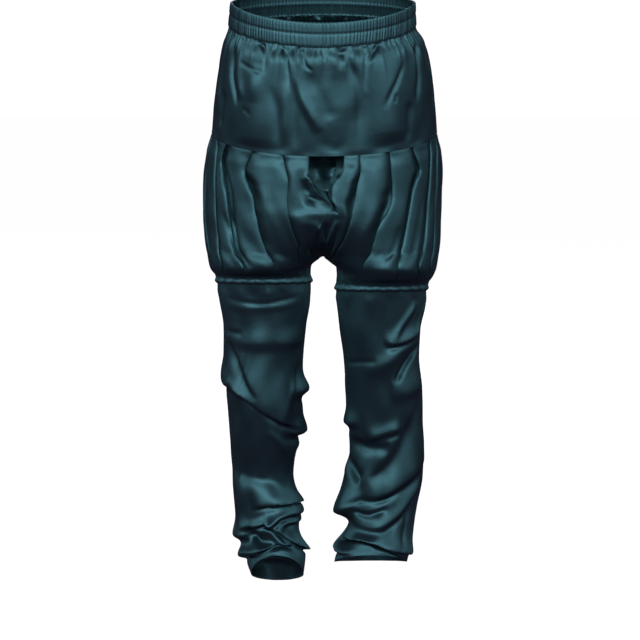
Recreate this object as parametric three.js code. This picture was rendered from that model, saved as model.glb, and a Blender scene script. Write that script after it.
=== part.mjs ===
// Pleated pajama trousers, standing in the form they are worn in, with nobody inside them.
// An elastic waistband carries a smooth hip yoke. A pleated balloon panel hangs from the yoke,
// drops to a low crotch and is gathered into a narrow band above each knee. Straight lower legs
// hang from those bands and crush into folds at the ankle. Every piece is a closed cloth wall.
// Millimetres. X runs to the wearer's left, Y to the back, Z up. The origin is the middle of the
// waist opening, half way up the waistband.
import * as THREE from 'three';

// Cloth and seams.
const CLOTH = 1.4;
const BAND_CLOTH = 2.4;
const SEAM = 0.3;

// The waistband: an elastic casing with one row of stitching round its middle.
const WAISTBAND = { top: 18, bottom: -23, wall: 3, gathers: 120, rib: 0.75, puff: 1.6, insideColumns: 64 };
const WAISTBAND_ROWS = [
  { down: 0, puff: 0.1 },
  { down: 0.24, puff: 1 },
  { down: 0.48, puff: 0.15 },
  { down: 0.74, puff: 1 },
  { down: 1, puff: 0.1 },
];

// Hip sections, from the waistband's top edge to the crotch. half is half the width, front and back
// are depths from the origin, shift is how far the section hangs towards the wearer's left, drop how
// far the front hangs below the side, rise how far the back stands above it. pleat is how deep the
// pleats are there, and cleft how deep the hollow at the centre front is.
const HIP = [
  { z: 18, half: 158, front: 103, back: 108, shift: 0, drop: 33, rise: 14, pleat: 0, cleft: 0 },
  { z: -23, half: 161, front: 106, back: 112, shift: -1, drop: 33, rise: 14, pleat: 0, cleft: 0 },
  { z: -45, half: 171, front: 113, back: 122, shift: 1, drop: 33, rise: 14, pleat: 0, cleft: 0 },
  { z: -75, half: 179.5, front: 118, back: 134, shift: 3, drop: 32, rise: 13, pleat: 0, cleft: 0 },
  { z: -110, half: 185.5, front: 121, back: 144, shift: 3.5, drop: 31, rise: 12, pleat: 0, cleft: 0 },
  { z: -155, half: 191, front: 122, back: 150, shift: 3, drop: 30, rise: 11, pleat: 0, cleft: 0 },
  { z: -211, half: 196, front: 120, back: 148, shift: 2.5, drop: 29, rise: 10, pleat: 5, cleft: 3 },
  { z: -240, half: 203, front: 126, back: 151, shift: 2, drop: 25, rise: 8, pleat: 10, cleft: 18 },
  { z: -300, half: 207.5, front: 133, back: 154, shift: -0.5, drop: 14, rise: 4, pleat: 15, cleft: 30 },
  { z: -330, half: 207.5, front: 134, back: 154, shift: -1, drop: 9, rise: 2, pleat: 16, cleft: 16 },
  { z: -360, half: 206.5, front: 131, back: 152, shift: -1.5, drop: 5, rise: 1, pleat: 16, cleft: 4 },
  { z: -423, half: 201.5, front: 117, back: 138, shift: 0, drop: 0, rise: 0, pleat: 12, cleft: 0 },
];
const YOKE_SEAM = -211;
const CROTCH = -423;
const PARTING = -262; // where the two thighs start to part
const CENTRE_GAP = 0.6; // from the centre plane to each thigh at the crotch
const DROP_POWER = 1.3;

// Leg sections, from the crotch to the hem. inner and outer are distances from the centre plane,
// lift is how far the front stands above the side. The back hangs HEEL of that below the side.
const RIGHT_LEG = [
  { z: -423, inner: 0.6, outer: 201.5, front: 117, back: 138, lift: 0, pleat: 12 },
  { z: -431, inner: 11, outer: 199, front: 113, back: 133, lift: 2, pleat: 11 },
  { z: -440, inner: 20, outer: 196, front: 107, back: 124, lift: 5, pleat: 9 },
  { z: -449, inner: 21, outer: 191, front: 101, back: 112, lift: 7, pleat: 6 },
  { z: -457, inner: 21, outer: 186.5, front: 95, back: 100, lift: 8, pleat: 2.5 },
  { z: -469, inner: 21, outer: 184.5, front: 91, back: 95, lift: 8, pleat: 0 },
  { z: -500, inner: 22, outer: 181, front: 88, back: 90, lift: 6, pleat: 0 },
  { z: -545, inner: 29, outer: 174, front: 85, back: 84, lift: 0, pleat: 0 },
  { z: -620, inner: 35, outer: 173, front: 81, back: 83, lift: 0, pleat: 0 },
  { z: -700, inner: 36, outer: 167, front: 73, back: 90, lift: 0, pleat: 0 },
  { z: -790, inner: 44, outer: 162, front: 68, back: 89, lift: 0, pleat: 0 },
  { z: -860, inner: 36, outer: 157, front: 67, back: 83, lift: 2, pleat: 0 },
  { z: -905, inner: 42, outer: 151, front: 70, back: 77, lift: 12, pleat: 0 },
  { z: -945, inner: 30, outer: 143, front: 74, back: 74, lift: 30, pleat: 0 },
  { z: -990, inner: 34, outer: 127, front: 80, back: 71, lift: 52, pleat: 0 },
];
const LEFT_LEG = [
  { z: -423, inner: 0.6, outer: 201.5, front: 117, back: 138, lift: 0, pleat: 12 },
  { z: -432, inner: 12, outer: 200, front: 114, back: 134, lift: 2, pleat: 11 },
  { z: -442, inner: 23, outer: 198, front: 109, back: 126, lift: 4, pleat: 10 },
  { z: -456, inner: 24, outer: 191.5, front: 102, back: 113, lift: 6, pleat: 6 },
  { z: -470, inner: 23, outer: 183.5, front: 94, back: 99, lift: 8, pleat: 2.5 },
  { z: -482, inner: 23, outer: 181, front: 90, back: 94, lift: 8, pleat: 0 },
  { z: -510, inner: 25, outer: 179, front: 87, back: 89, lift: 6, pleat: 0 },
  { z: -550, inner: 29, outer: 171, front: 84, back: 83, lift: 0, pleat: 0 },
  { z: -600, inner: 36, outer: 169, front: 81, back: 82, lift: 0, pleat: 0 },
  { z: -660, inner: 40, outer: 175, front: 76, back: 87, lift: 0, pleat: 0 },
  { z: -710, inner: 42, outer: 175.5, front: 72, back: 90, lift: 0, pleat: 0 },
  { z: -760, inner: 47, outer: 179, front: 69, back: 90, lift: 0, pleat: 0 },
  { z: -815, inner: 37, outer: 176.5, front: 68, back: 87, lift: 1, pleat: 0 },
  { z: -866, inner: 30, outer: 167, front: 70, back: 81, lift: 6, pleat: 0 },
  { z: -900, inner: 42, outer: 161.5, front: 73, back: 78, lift: 12, pleat: 0 },
  { z: -930, inner: 27, outer: 158, front: 79, back: 74, lift: 20, pleat: 0 },
  { z: -966, inner: 20, outer: 149, front: 86, back: 70, lift: 30, pleat: 0 },
];
const HEEL = 0.55;
const RIGHT_BAND = { top: -457, bottom: -469 };
const LEFT_BAND = { top: -470, bottom: -482 };

// Knife pleats of one leg's balloon panel. Each is a place along the girth, from 0 at the centre
// front through 0.5 at the side to 1 at the centre back: where the pleat leaves the yoke, where it
// passes half way down, and where it runs into the band. The fold edge of a front pleat lies towards
// the centre front, and that of a back pleat towards the centre back.
const RIGHT_PLEATS = [
  { yoke: 0.041, middle: 0.045, band: 0.055 },
  { yoke: 0.119, middle: 0.096, band: 0.136 },
  { yoke: 0.209, middle: 0.214, band: 0.228 },
  { yoke: 0.318, middle: 0.298, band: 0.31 },
  { yoke: 0.409, middle: 0.378, band: 0.392 },
  { yoke: 0.472, middle: 0.458, band: 0.462 },
  { yoke: 0.545, middle: 0.55, band: 0.545 },
  { yoke: 0.632, middle: 0.636, band: 0.632 },
  { yoke: 0.722, middle: 0.724, band: 0.716 },
  { yoke: 0.812, middle: 0.808, band: 0.8 },
  { yoke: 0.9, middle: 0.896, band: 0.888 },
  { yoke: 0.962, middle: 0.96, band: 0.952 },
];
const LEFT_PLEATS = [
  { yoke: 0.061, middle: 0.035, band: 0.045 },
  { yoke: 0.113, middle: 0.085, band: 0.11 },
  { yoke: 0.2, middle: 0.198, band: 0.2 },
  { yoke: 0.3, middle: 0.266, band: 0.288 },
  { yoke: 0.394, middle: 0.344, band: 0.356 },
  { yoke: 0.468, middle: 0.43, band: 0.44 },
  { yoke: 0.545, middle: 0.54, band: 0.54 },
  { yoke: 0.63, middle: 0.634, band: 0.628 },
  { yoke: 0.72, middle: 0.722, band: 0.714 },
  { yoke: 0.808, middle: 0.812, band: 0.802 },
  { yoke: 0.898, middle: 0.9, band: 0.89 },
  { yoke: 0.96, middle: 0.962, band: 0.954 },
];
// One pleat's section: how far across the pleat, and how high of its depth.
const PLEAT_SECTION = [
  { across: 0.03, high: 0.78 },
  { across: 0.24, high: 1 },
  { across: 0.64, high: 0.8 },
  { across: 0.975, high: 0 },
];
const CLEFT_SECTION = [
  { across: 0, deep: 1 },
  { across: 0.35, deep: 0.9 },
  { across: 0.7, deep: 0.6 },
  { across: 0.97, deep: 0.1 },
];
const BACK_CLEFT = 0.35; // of the hollow at the centre front

// Soft folds of the yoke, fanning down from the waistband. turn is in degrees from the centre front
// towards the wearer's left, reach is how far the fold runs down, sway how far it leans.
const YOKE_FOLDS = [
  { turn: -64, reach: 60, wide: 9, high: 4.5, sway: 5 },
  { turn: -47, reach: 120, wide: 8, high: 5, sway: -3 },
  { turn: -33, reach: 90, wide: 7, high: 4.5, sway: 4 },
  { turn: -18, reach: 170, wide: 8, high: 6, sway: 9 },
  { turn: -5, reach: 110, wide: 6, high: 4, sway: 3 },
  { turn: 8, reach: 130, wide: 7, high: 5, sway: 2 },
  { turn: 22, reach: 80, wide: 7, high: 4.5, sway: -3 },
  { turn: 38, reach: 150, wide: 10, high: 5, sway: -4 },
  { turn: 58, reach: 90, wide: 8, high: 4.5, sway: 3 },
  { turn: 76, reach: 120, wide: 9, high: 4, sway: 0 },
  { turn: 108, reach: 110, wide: 9, high: 4, sway: 2 },
  { turn: 128, reach: 80, wide: 8, high: 4.5, sway: -3 },
  { turn: 148, reach: 130, wide: 9, high: 5, sway: 3 },
  { turn: 168, reach: 90, wide: 7, high: 4.5, sway: -2 },
  { turn: 187, reach: 120, wide: 8, high: 5, sway: 3 },
  { turn: 206, reach: 80, wide: 7, high: 4.5, sway: -3 },
  { turn: 226, reach: 130, wide: 9, high: 5, sway: 2 },
  { turn: 250, reach: 100, wide: 9, high: 4, sway: -2 },
  { turn: 276, reach: 110, wide: 9, high: 4, sway: 0 },
];
const YOKE_GATHER = { high: 1.3, reach: 34 };
const YOKE_TUCK = { deep: 3.2, reach: 90 }; // the cloth between the folds lies this far in under the band
const YOKE_EASE = 20; // the folds die out over this height above the yoke seam
const YOKE_COLUMNS = 37;
const YOKE_ROWS = [-34, -52, -80, -118, -164];
const OVAL = 1.5; // how much more an oval section faces the front and back than a round one

// Folds of the lower legs. A fold's crest passes three places, each a turn in degrees from the
// leg's front towards its outer side and a height. wide is its reach above the crest, high how far
// it stands out, hang how far it sags over the cloth below.
const RIGHT_FOLDS = [
  { a: -60, za: -488, b: 0, zb: -497, c: 55, zc: -500, wide: 10, high: 3, hang: 1 },
  { a: -80, za: -560, b: -10, zb: -572, c: 50, zc: -560, wide: 22, high: 4, hang: 2 },
  { a: 35, za: -640, b: 78, zb: -622, c: 140, zc: -600, wide: 26, high: 7, hang: 5 },
  { a: -120, za: -668, b: -80, zb: -662, c: -35, zc: -650, wide: 16, high: 14, hang: 8 },
  { a: -80, za: -718, b: 2, zb: -682, c: 82, zc: -646, wide: 44, high: 13, hang: 13 },
  { a: -150, za: -720, b: -86, zb: -730, c: -25, zc: -712, wide: 20, high: 12, hang: 8 },
  { a: -95, za: -800, b: -45, zb: -768, c: -5, zc: -735, wide: 20, high: 5, hang: 3 },
  { a: -130, za: -858, b: -20, zb: -846, c: 60, zc: -838, wide: 34, high: 10, hang: 12 },
  { a: -95, za: -868, b: -20, zb: -872, c: 45, zc: -868, wide: 12, high: 7, hang: 6 },
  { a: -130, za: -893, b: -60, zb: -884, c: 10, zc: -888, wide: 12, high: 8, hang: 6 },
  { a: 30, za: -896, b: 90, zb: -914, c: 170, zc: -908, wide: 20, high: 11, hang: 6 },
  { a: -140, za: -936, b: -55, zb: -918, c: 20, zc: -900, wide: 16, high: 16, hang: 10 },
  { a: -50, za: -932, b: 5, zb: -926, c: 65, zc: -942, wide: 12, high: 8, hang: 6 },
  { a: 60, za: -945, b: 110, zb: -950, c: 170, zc: -948, wide: 14, high: 9, hang: 7 },
  { a: 130, za: -560, b: 180, zb: -580, c: 230, zc: -565, wide: 22, high: 8, hang: 5 },
  { a: 120, za: -640, b: 185, zb: -632, c: 250, zc: -650, wide: 24, high: 10, hang: 8 },
  { a: 110, za: -868, b: 180, zb: -852, c: 240, zc: -870, wide: 22, high: 11, hang: 9 },
  { a: 120, za: -918, b: 190, zb: -906, c: 250, zc: -922, wide: 16, high: 10, hang: 8 },
];
const LEFT_FOLDS = [
  { a: 30, za: -552, b: 52, zb: -520, c: 75, zc: -498, wide: 9, high: 4, hang: 1 },
  { a: 5, za: -560, b: 35, zb: -556, c: 75, zc: -540, wide: 14, high: 6, hang: 5 },
  { a: 5, za: -640, b: 35, zb: -598, c: 80, zc: -560, wide: 18, high: 7, hang: 5 },
  { a: -60, za: -600, b: -10, zb: -628, c: 40, zc: -650, wide: 24, high: 4, hang: 3 },
  { a: -120, za: -716, b: -88, zb: -712, c: -40, zc: -705, wide: 16, high: 6, hang: 4 },
  { a: -40, za: -724, b: 5, zb: -719, c: 60, zc: -706, wide: 20, high: 5, hang: 4 },
  { a: -20, za: -838, b: 20, zb: -800, c: 85, zc: -760, wide: 22, high: 8, hang: 7 },
  { a: -125, za: -868, b: -85, zb: -866, c: -30, zc: -838, wide: 26, high: 13, hang: 9 },
  { a: -70, za: -874, b: -5, zb: -884, c: 65, zc: -812, wide: 16, high: 6, hang: 4 },
  { a: -45, za: -912, b: 5, zb: -908, c: 55, zc: -916, wide: 22, high: 5, hang: 3 },
  { a: -150, za: -930, b: -85, zb: -936, c: -20, zc: -940, wide: 14, high: 9, hang: 6 },
  { a: 130, za: -560, b: 180, zb: -575, c: 230, zc: -562, wide: 22, high: 8, hang: 5 },
  { a: 110, za: -650, b: 180, zb: -636, c: 245, zc: -645, wide: 24, high: 10, hang: 8 },
  { a: 100, za: -850, b: 175, zb: -842, c: 240, zc: -862, wide: 24, high: 10, hang: 8 },
  { a: 110, za: -905, b: 180, zb: -895, c: 245, zc: -912, wide: 18, high: 10, hang: 8 },
];

// Swags of the centre front, where the cloth between the thighs falls in a cowl. Each crest passes
// three places: a distance from the centre plane towards the wearer's left and a height.
const COWL_END = 8; // a swag fades out this far past its ends
const COWL_EASE = 50; // and over this height above the crotch
const COWL = [
  { a: -56, za: -344, b: -18, zb: -338, c: 26, zc: -340, wide: 15, high: 9 },
  { a: -25, za: -279, b: 2, zb: -314, c: 24, zc: -334, wide: 9, high: 7 },
];

// Rows of points down each piece.
const BALLOON_ROWS = [-224, -243, -268, -298, -328, -356, -382, -402, -416];
const THIGH_ROWS = [0.24, 0.5, 0.76, 1]; // of the way from the crotch to the leg band
const RIGHT_ROWS = [
  -484, -497, -518, -545, -570, -596, -620, -642, -662, -682, -702, -720, -742, -772, -802, -828,
  -848, -864, -879, -894, -910, -926, -943, -960, -976,
];
const LEFT_ROWS = [
  -496, -512, -532, -554, -574, -596, -618, -644, -672, -698, -714, -736, -764, -790, -814, -834,
  -850, -866, -882, -898, -914, -930, -948,
];
const LEG_COLUMNS = 24;
const LEG_HELD = 18; // folds start this far below the band
const LEG_FREE = 26; // and grow smaller over this height above the hem
const FOLD = { under: 0.55, trough: 0.4, troughAt: 1.05, troughWide: 0.5, sag: 0.7, ends: 32 };
const LEG_BAND = { columns: 28, proud: 1.2, edge: 0.4, bevel: 3 };

const clamp = (x, low, high) => Math.min(high, Math.max(low, x));
const smooth = (x) => {
  const t = clamp(x, 0, 1);
  return t * t * (3 - 2 * t);
};
const bell = (x) => Math.exp(-x * x);
const NEAR = 0.004; // of the girth, a step for finding which way a section faces

// The value of a table's column at a height, on a smooth curve through its rows.
function track(table, key, z) {
  const last = table.length - 1;
  if (z >= table[0].z) return table[0][key];
  if (z <= table[last].z) return table[last][key];
  let i = 0;
  while (table[i + 1].z > z) i += 1;
  const slope = (j) => (table[j + 1][key] - table[j][key]) / (table[j + 1].z - table[j].z);
  const tangent = (j) => {
    if (j === 0) return slope(0);
    if (j === last) return slope(last - 1);
    const before = slope(j - 1);
    const after = slope(j);
    return before * after <= 0 ? 0 : (2 * before * after) / (before + after);
  };
  const step = table[i + 1].z - table[i].z;
  const t = (z - table[i].z) / step;
  const rest = 1 - t;
  return (1 + 2 * t) * rest * rest * table[i][key] + t * rest * rest * step * tangent(i)
    + t * t * (3 - 2 * t) * table[i + 1][key] - t * t * rest * step * tangent(i + 1);
}

// A curve's value at x, through three places.
function throughThree(x, f) {
  const { a, za, b, zb, c, zc } = f;
  return (za * (x - b) * (x - c)) / ((a - b) * (a - c))
    + (zb * (x - a) * (x - c)) / ((b - a) * (b - c))
    + (zc * (x - a) * (x - b)) / ((c - a) * (c - b));
}

const endFade = (x, start, stop, soft) => smooth((x - start) / soft) * smooth((stop - x) / soft);

// A point of the hip, on one side of the body. along runs from 0 at the centre front to 1 at the
// centre back. Above the parting a section is half an oval, at the crotch it is a whole thigh.
function hipPoint(side, along, z) {
  const half = track(HIP, 'half', z);
  const front = track(HIP, 'front', z);
  const back = track(HIP, 'back', z);
  const depth = (front + back) / 2;
  const middle = (back - front) / 2;
  const below = 1 - clamp((z - CROTCH) / (PARTING - CROTCH), 0, 1);
  const whole = 1 - Math.sqrt(1 - below ** 2);
  const turn = Math.PI * along;
  const thigh = (half - CENTRE_GAP) / 2;
  const oval = (1 - whole) * Math.sin(turn);
  const x = oval * half + whole * (CENTRE_GAP + thigh - thigh * Math.cos(2 * turn));
  const y = middle - (1 - whole) * depth * Math.cos(turn) - whole * depth * Math.sin(2 * turn);
  const reach = Math.abs(Math.cos(turn)) ** DROP_POWER;
  const lift = turn < Math.PI / 2 ? -track(HIP, 'drop', z) : track(HIP, 'rise', z);
  return new THREE.Vector3(side * x + oval * track(HIP, 'shift', z), y, z + lift * reach);
}

// A point of a leg. along runs from 0 at the inseam over the front and the outer side back to 1.
function legPoint(side, table, along, z) {
  const inner = track(table, 'inner', z);
  const outer = track(table, 'outer', z);
  const front = track(table, 'front', z);
  const back = track(table, 'back', z);
  const turn = 2 * Math.PI * (along - 0.25);
  const ahead = Math.cos(turn);
  const x = (inner + outer) / 2 + ((outer - inner) / 2) * Math.sin(turn);
  const y = (back - front) / 2 - ((front + back) / 2) * ahead;
  const lift = track(table, 'lift', z) * (ahead > 0 ? ahead : ahead * HEEL);
  return new THREE.Vector3(side * x, y, z + lift);
}

// Across the lower legs: how a turn from the front in degrees, and a height, are pushed out and down.
function legFolds(folds, turn, z) {
  let out = 0;
  let down = 0;
  for (const f of folds) {
    const at = f.a + THREE.MathUtils.euclideanModulo(turn - f.a, 360);
    if (at > f.c) continue;
    const above = z - throughThree(at, f);
    const fade = endFade(at, f.a, f.c, Math.min(FOLD.ends, (f.c - f.a) / 2));
    const crest = above > 0 ? bell(above / f.wide) : bell(above / (FOLD.under * f.wide));
    const under = FOLD.trough * bell((above + FOLD.troughAt * f.wide) / (FOLD.troughWide * f.wide));
    out += fade * f.high * (crest - under);
    down += fade * f.hang * bell(above / (FOLD.sag * f.wide));
  }
  return { out, down };
}

// Rows of points become a grid with the outward direction at each, from its neighbours.
// mirrored says that the columns run the other way round the body, wrap that they close on themselves.
function withNormals(rows, mirrored, wrap) {
  const columns = rows[0].length;
  const beside = (row, c, step, closes) => {
    let i = c;
    do {
      const next = i + step;
      if (!closes && (next < 0 || next >= columns)) return row[i];
      i = (next + columns) % columns;
    } while (row[i].distanceTo(row[c]) < 0.01 && i !== c);
    return row[i];
  };
  return rows.map((row, r) => row.map((p, c) => {
    const left = beside(row, c, -1, wrap(r));
    const right = beside(row, c, 1, wrap(r));
    const up = rows[Math.max(r - 1, 0)][c];
    const down = rows[Math.min(r + 1, rows.length - 1)][c];
    const across = right.clone().sub(left);
    const fall = down.clone().sub(up);
    const n = fall.cross(across);
    if (mirrored) n.negate();
    if (r === 0 || r === rows.length - 1) n.z = 0;
    return n.normalize();
  }));
}

// Moves a column of a grid to its own side of a seam, and keeps its edge in the seam's plane.
function alongSeam(grid, normals, column, axis, way) {
  grid.forEach((row, r) => {
    row[column][axis] += (way * SEAM) / 2;
    normals[r][column][axis] = 0;
    normals[r][column].normalize();
  });
}

// A growing list of points and faces.
class Shell {
  constructor() {
    this.points = [];
    this.faces = [];
  }

  add(p) {
    this.points.push(p.x, p.y, p.z);
    return this.points.length / 3 - 1;
  }

  quad(a, b, c, d, flip) {
    if (flip) this.faces.push(a, c, b, a, d, c);
    else this.faces.push(a, b, c, a, c, d);
  }

  // Fills the strip between two rows of points that run the same way with different numbers of points.
  bridge(top, low) {
    let i = 0;
    let j = 0;
    while (i < top.length - 1 || j < low.length - 1) {
      const nextTop = (i + 1) / (top.length - 1);
      const nextLow = (j + 1) / (low.length - 1);
      const stepTop = j === low.length - 1 || (i < top.length - 1 && nextTop <= nextLow);
      const third = stepTop ? top[i + 1] : low[j + 1];
      this.faces.push(top[i], low[j], third);
      if (stepTop) i += 1;
      else j += 1;
    }
  }

  mesh(name, material) {
    const geometry = new THREE.BufferGeometry();
    geometry.setAttribute('position', new THREE.Float32BufferAttribute(this.points, 3));
    geometry.setIndex(this.faces);
    geometry.computeVertexNormals();
    const mesh = new THREE.Mesh(geometry, material);
    mesh.name = name;
    return mesh;
  }
}

// A cloth wall between a grid of outer points and the same grid moved in along its normals.
function wall(name, outer, normals, thickness, material, { closed = false, flip = false } = {}) {
  const shell = new Shell();
  const outside = outer.map((row) => row.map((p) => shell.add(p)));
  const inside = outer.map((row, r) => row.map(
    (p, c) => shell.add(p.clone().addScaledVector(normals[r][c], -thickness)),
  ));
  const rows = outer.length;
  const columns = outer[0].length;
  const steps = closed ? columns : columns - 1;
  for (let r = 0; r < rows - 1; r += 1) {
    for (let c = 0; c < steps; c += 1) {
      const d = (c + 1) % columns;
      shell.quad(outside[r][c], outside[r + 1][c], outside[r + 1][d], outside[r][d], flip);
      shell.quad(inside[r][c], inside[r][d], inside[r + 1][d], inside[r + 1][c], flip);
    }
  }
  for (let c = 0; c < steps; c += 1) {
    const d = (c + 1) % columns;
    shell.quad(outside[0][c], outside[0][d], inside[0][d], inside[0][c], flip);
    shell.quad(outside[rows - 1][c], inside[rows - 1][c], inside[rows - 1][d], outside[rows - 1][d], flip);
  }
  if (!closed) {
    for (let r = 0; r < rows - 1; r += 1) {
      const e = columns - 1;
      shell.quad(outside[r][0], inside[r][0], inside[r + 1][0], outside[r + 1][0], flip);
      shell.quad(outside[r][e], outside[r + 1][e], inside[r + 1][e], inside[r][e], flip);
    }
  }
  return shell.mesh(name, material);
}

const SHEEN = { roughness: 0.42, metalness: 0.15 };
const satin = (color) => new THREE.MeshStandardMaterial({ color, ...SHEEN });
const TEAL = satin(0x2d4f58);
const TEAL_PLEATED = satin(0x24434c);
const TEAL_BAND = satin(0x335963);

const trousers = new THREE.Group();

// The way out from an oval section, level.
const outward = (p) => new THREE.Vector3(p.x, p.y * OVAL, 0).normalize();

// The waistband's ribs stand on its outer face only, and its inside is plain.
function waistband() {
  const shell = new Shell();
  const height = WAISTBAND.top - WAISTBAND.bottom;
  const place = (round, z, out) => {
    const p = round > 0.5 ? hipPoint(-1, 2 * (1 - round), z) : hipPoint(1, 2 * round, z);
    return p.addScaledVector(outward(p), out);
  };
  const ring = (columns, z, out) => {
    const row = [];
    for (let c = 0; c < columns; c += 1) row.push(shell.add(place(c / columns, z, out(c))));
    return [...row, row[0]];
  };
  const columns = 2 * WAISTBAND.gathers;
  const outside = WAISTBAND_ROWS.map(({ down, puff }) => ring(
    columns,
    WAISTBAND.top - down * height,
    (c) => puff * (WAISTBAND.puff + (c % 2 === 0 ? WAISTBAND.rib : -WAISTBAND.rib)),
  ));
  const plain = WAISTBAND.insideColumns;
  const inside = [WAISTBAND.top, WAISTBAND.bottom].map((z) => ring(plain, z, () => -WAISTBAND.wall));
  for (let r = 0; r < outside.length - 1; r += 1) {
    for (let c = 0; c < columns; c += 1) {
      shell.quad(outside[r][c], outside[r + 1][c], outside[r + 1][c + 1], outside[r][c + 1], false);
    }
  }
  for (let c = 0; c < plain; c += 1) {
    shell.quad(inside[0][c], inside[0][c + 1], inside[1][c + 1], inside[1][c], false);
  }
  shell.bridge(inside[0], outside[0]);
  shell.bridge(outside[outside.length - 1], inside[1]);
  trousers.add(shell.mesh('waistband', TEAL_BAND));
}

// How far the yoke stands out at a turn in degrees from the centre front, and a height.
function yokeFolds(turn, column, z) {
  const below = WAISTBAND.bottom - z;
  let out = (column % 2 === 0 ? 1 : -1) * YOKE_GATHER.high * smooth(1 - below / YOKE_GATHER.reach);
  for (const fold of YOKE_FOLDS) {
    const crest = fold.turn + (fold.sway * below) / fold.reach;
    const across = THREE.MathUtils.euclideanModulo(turn - crest + 180, 360) - 180;
    out += fold.high * bell(across / fold.wide) * smooth(1 - below / fold.reach);
  }
  out -= YOKE_TUCK.deep * smooth(1 - below / YOKE_TUCK.reach);
  return out * smooth((z - YOKE_SEAM - SEAM) / YOKE_EASE);
}

// The yoke, front and back, parted at the side seams.
function yoke() {
  const heights = [WAISTBAND.bottom - SEAM, ...YOKE_ROWS, YOKE_SEAM + SEAM / 2];
  const last = YOKE_COLUMNS - 1;
  for (const [name, start, way] of [['yoke_front', -90, -1], ['yoke_back', 90, 1]]) {
    const grid = heights.map((z) => {
      const row = [];
      for (let c = 0; c <= last; c += 1) {
        const turn = start + (180 * c) / last;
        const side = turn < 0 || turn > 180 ? -1 : 1;
        const p = hipPoint(side, Math.abs(turn > 180 ? 360 - turn : turn) / 180, z);
        row.push(p.addScaledVector(outward(p), yokeFolds(turn, c, z)));
      }
      return row;
    });
    const normals = withNormals(grid, false, () => false);
    for (const c of [0, last]) alongSeam(grid, normals, c, 'y', way);
    trousers.add(wall(name, grid, normals, CLOTH, TEAL));
  }
}

// Along the girth, the columns of one balloon panel at a height: places, and how high of the pleat
// depth or how deep of the centre hollow each stands.
function pleatColumns(pleats, down) {
  const line = (p) => (down < 0.5
    ? THREE.MathUtils.lerp(p.yoke, p.middle, smooth(down * 2))
    : THREE.MathUtils.lerp(p.middle, p.band, smooth(down * 2 - 1)));
  const lines = pleats.map(line);
  const first = lines[0];
  const last = lines[lines.length - 1];
  const places = [];
  const add = (along, high, deep = 0) => places.push({ along, high, deep });
  for (const s of CLEFT_SECTION) add(first * s.across, 0, s.deep);
  for (let i = 0; i < lines.length - 1; i += 1) {
    const from = lines[i];
    const to = lines[i + 1];
    if (from < 0.5 && to > 0.5) {
      const half = PLEAT_SECTION.slice(0, 2);
      for (const s of half) add(from + (0.5 - from) * s.across * 2, s.high);
      add(0.5, 1);
      add(0.5, 1);
      for (const s of half.reverse()) add(to - (to - 0.5) * s.across * 2, s.high);
    } else if (to < 0.5) {
      for (const s of PLEAT_SECTION) add(from + (to - from) * s.across, s.high);
    } else {
      for (const s of [...PLEAT_SECTION].reverse()) add(to - (to - from) * s.across, s.high);
    }
  }
  for (const s of [...CLEFT_SECTION].reverse()) add(1 - (1 - last) * s.across, 0, s.deep * BACK_CLEFT);
  return places;
}

// How far the centre front's swags stand out.
function cowlSwags(x, z) {
  let out = 0;
  for (const f of COWL) {
    if (x < f.a - COWL_END || x > f.c + COWL_END) continue;
    const above = z - throughThree(clamp(x, f.a, f.c), f);
    const fade = endFade(x, f.a - COWL_END, f.c + COWL_END, 2 * COWL_END);
    const under = FOLD.trough * bell((above + FOLD.troughAt * f.wide) / (FOLD.troughWide * f.wide));
    out += fade * f.high * (bell(above / f.wide) - under);
  }
  return out * smooth((z - CROTCH) / COWL_EASE);
}

// One leg's balloon panel, front and back, from the yoke to the band.
function balloon(side, word, table, band, pleats) {
  const bottom = band.top + SEAM / 2;
  const span = YOKE_SEAM - bottom;
  const levels = [
    ...[YOKE_SEAM - SEAM / 2, ...BALLOON_ROWS, CROTCH].map((z) => ({ z, leg: false })),
    ...THIGH_ROWS.map((f) => ({ z: CROTCH + f * (bottom - CROTCH), leg: true })),
  ];
  const grid = [];
  const seams = [];
  for (const { z, leg } of levels) {
    const down = (YOKE_SEAM - z) / span;
    const pleat = track(leg ? table : HIP, 'pleat', z);
    const cleft = leg ? 0 : track(HIP, 'cleft', z);
    const base = (along) => (leg ? legPoint(side, table, along, z) : hipPoint(side, along, z));
    const row = [];
    const places = pleatColumns(pleats, down);
    const closed = leg || z === CROTCH;
    for (const { along, high, deep } of places) {
      const p = base(along);
      const ahead = base(Math.min(along + NEAR, 1));
      const behind = base(Math.max(along - NEAR, 0));
      const out = new THREE.Vector3(side * (ahead.y - behind.y), side * (behind.x - ahead.x), 0);
      out.normalize();
      p.addScaledVector(out, -pleat * (1 - high) - cleft * deep);
      if (along < 0.5 && !leg) p.addScaledVector(out, cowlSwags(p.x, p.z));
      if (side * p.x < SEAM / 2) p.x = (side * SEAM) / 2;
      row.push(p);
    }
    if (!closed) {
      row[0].x = side * (SEAM / 2);
      row[row.length - 1].x = side * (SEAM / 2);
    }
    seams.push(closed);
    grid.push(row);
  }
  const normals = withNormals(grid, side < 0, (r) => seams[r]);
  const last = grid[0].length - 1;
  const middle = grid[0].length / 2;
  const above = seams.indexOf(true);
  for (const c of [0, last]) alongSeam(grid.slice(0, above), normals.slice(0, above), c, 'x', 0);
  alongSeam(grid.slice(above), normals.slice(above), 0, 'y', -1);
  alongSeam(grid.slice(above), normals.slice(above), last, 'y', 1);
  alongSeam(grid, normals, middle - 1, 'y', -1);
  alongSeam(grid, normals, middle, 'y', 1);
  const pieces = [['front', 0, middle], ['back', middle, grid[0].length]];
  for (const [end, from, to] of pieces) {
    const part = (rows) => rows.map((row) => row.slice(from, to));
    const name = `balloon_${word}_${end}`;
    trousers.add(wall(name, part(grid), part(normals), CLOTH, TEAL_PLEATED, { flip: side < 0 }));
  }
}

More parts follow.
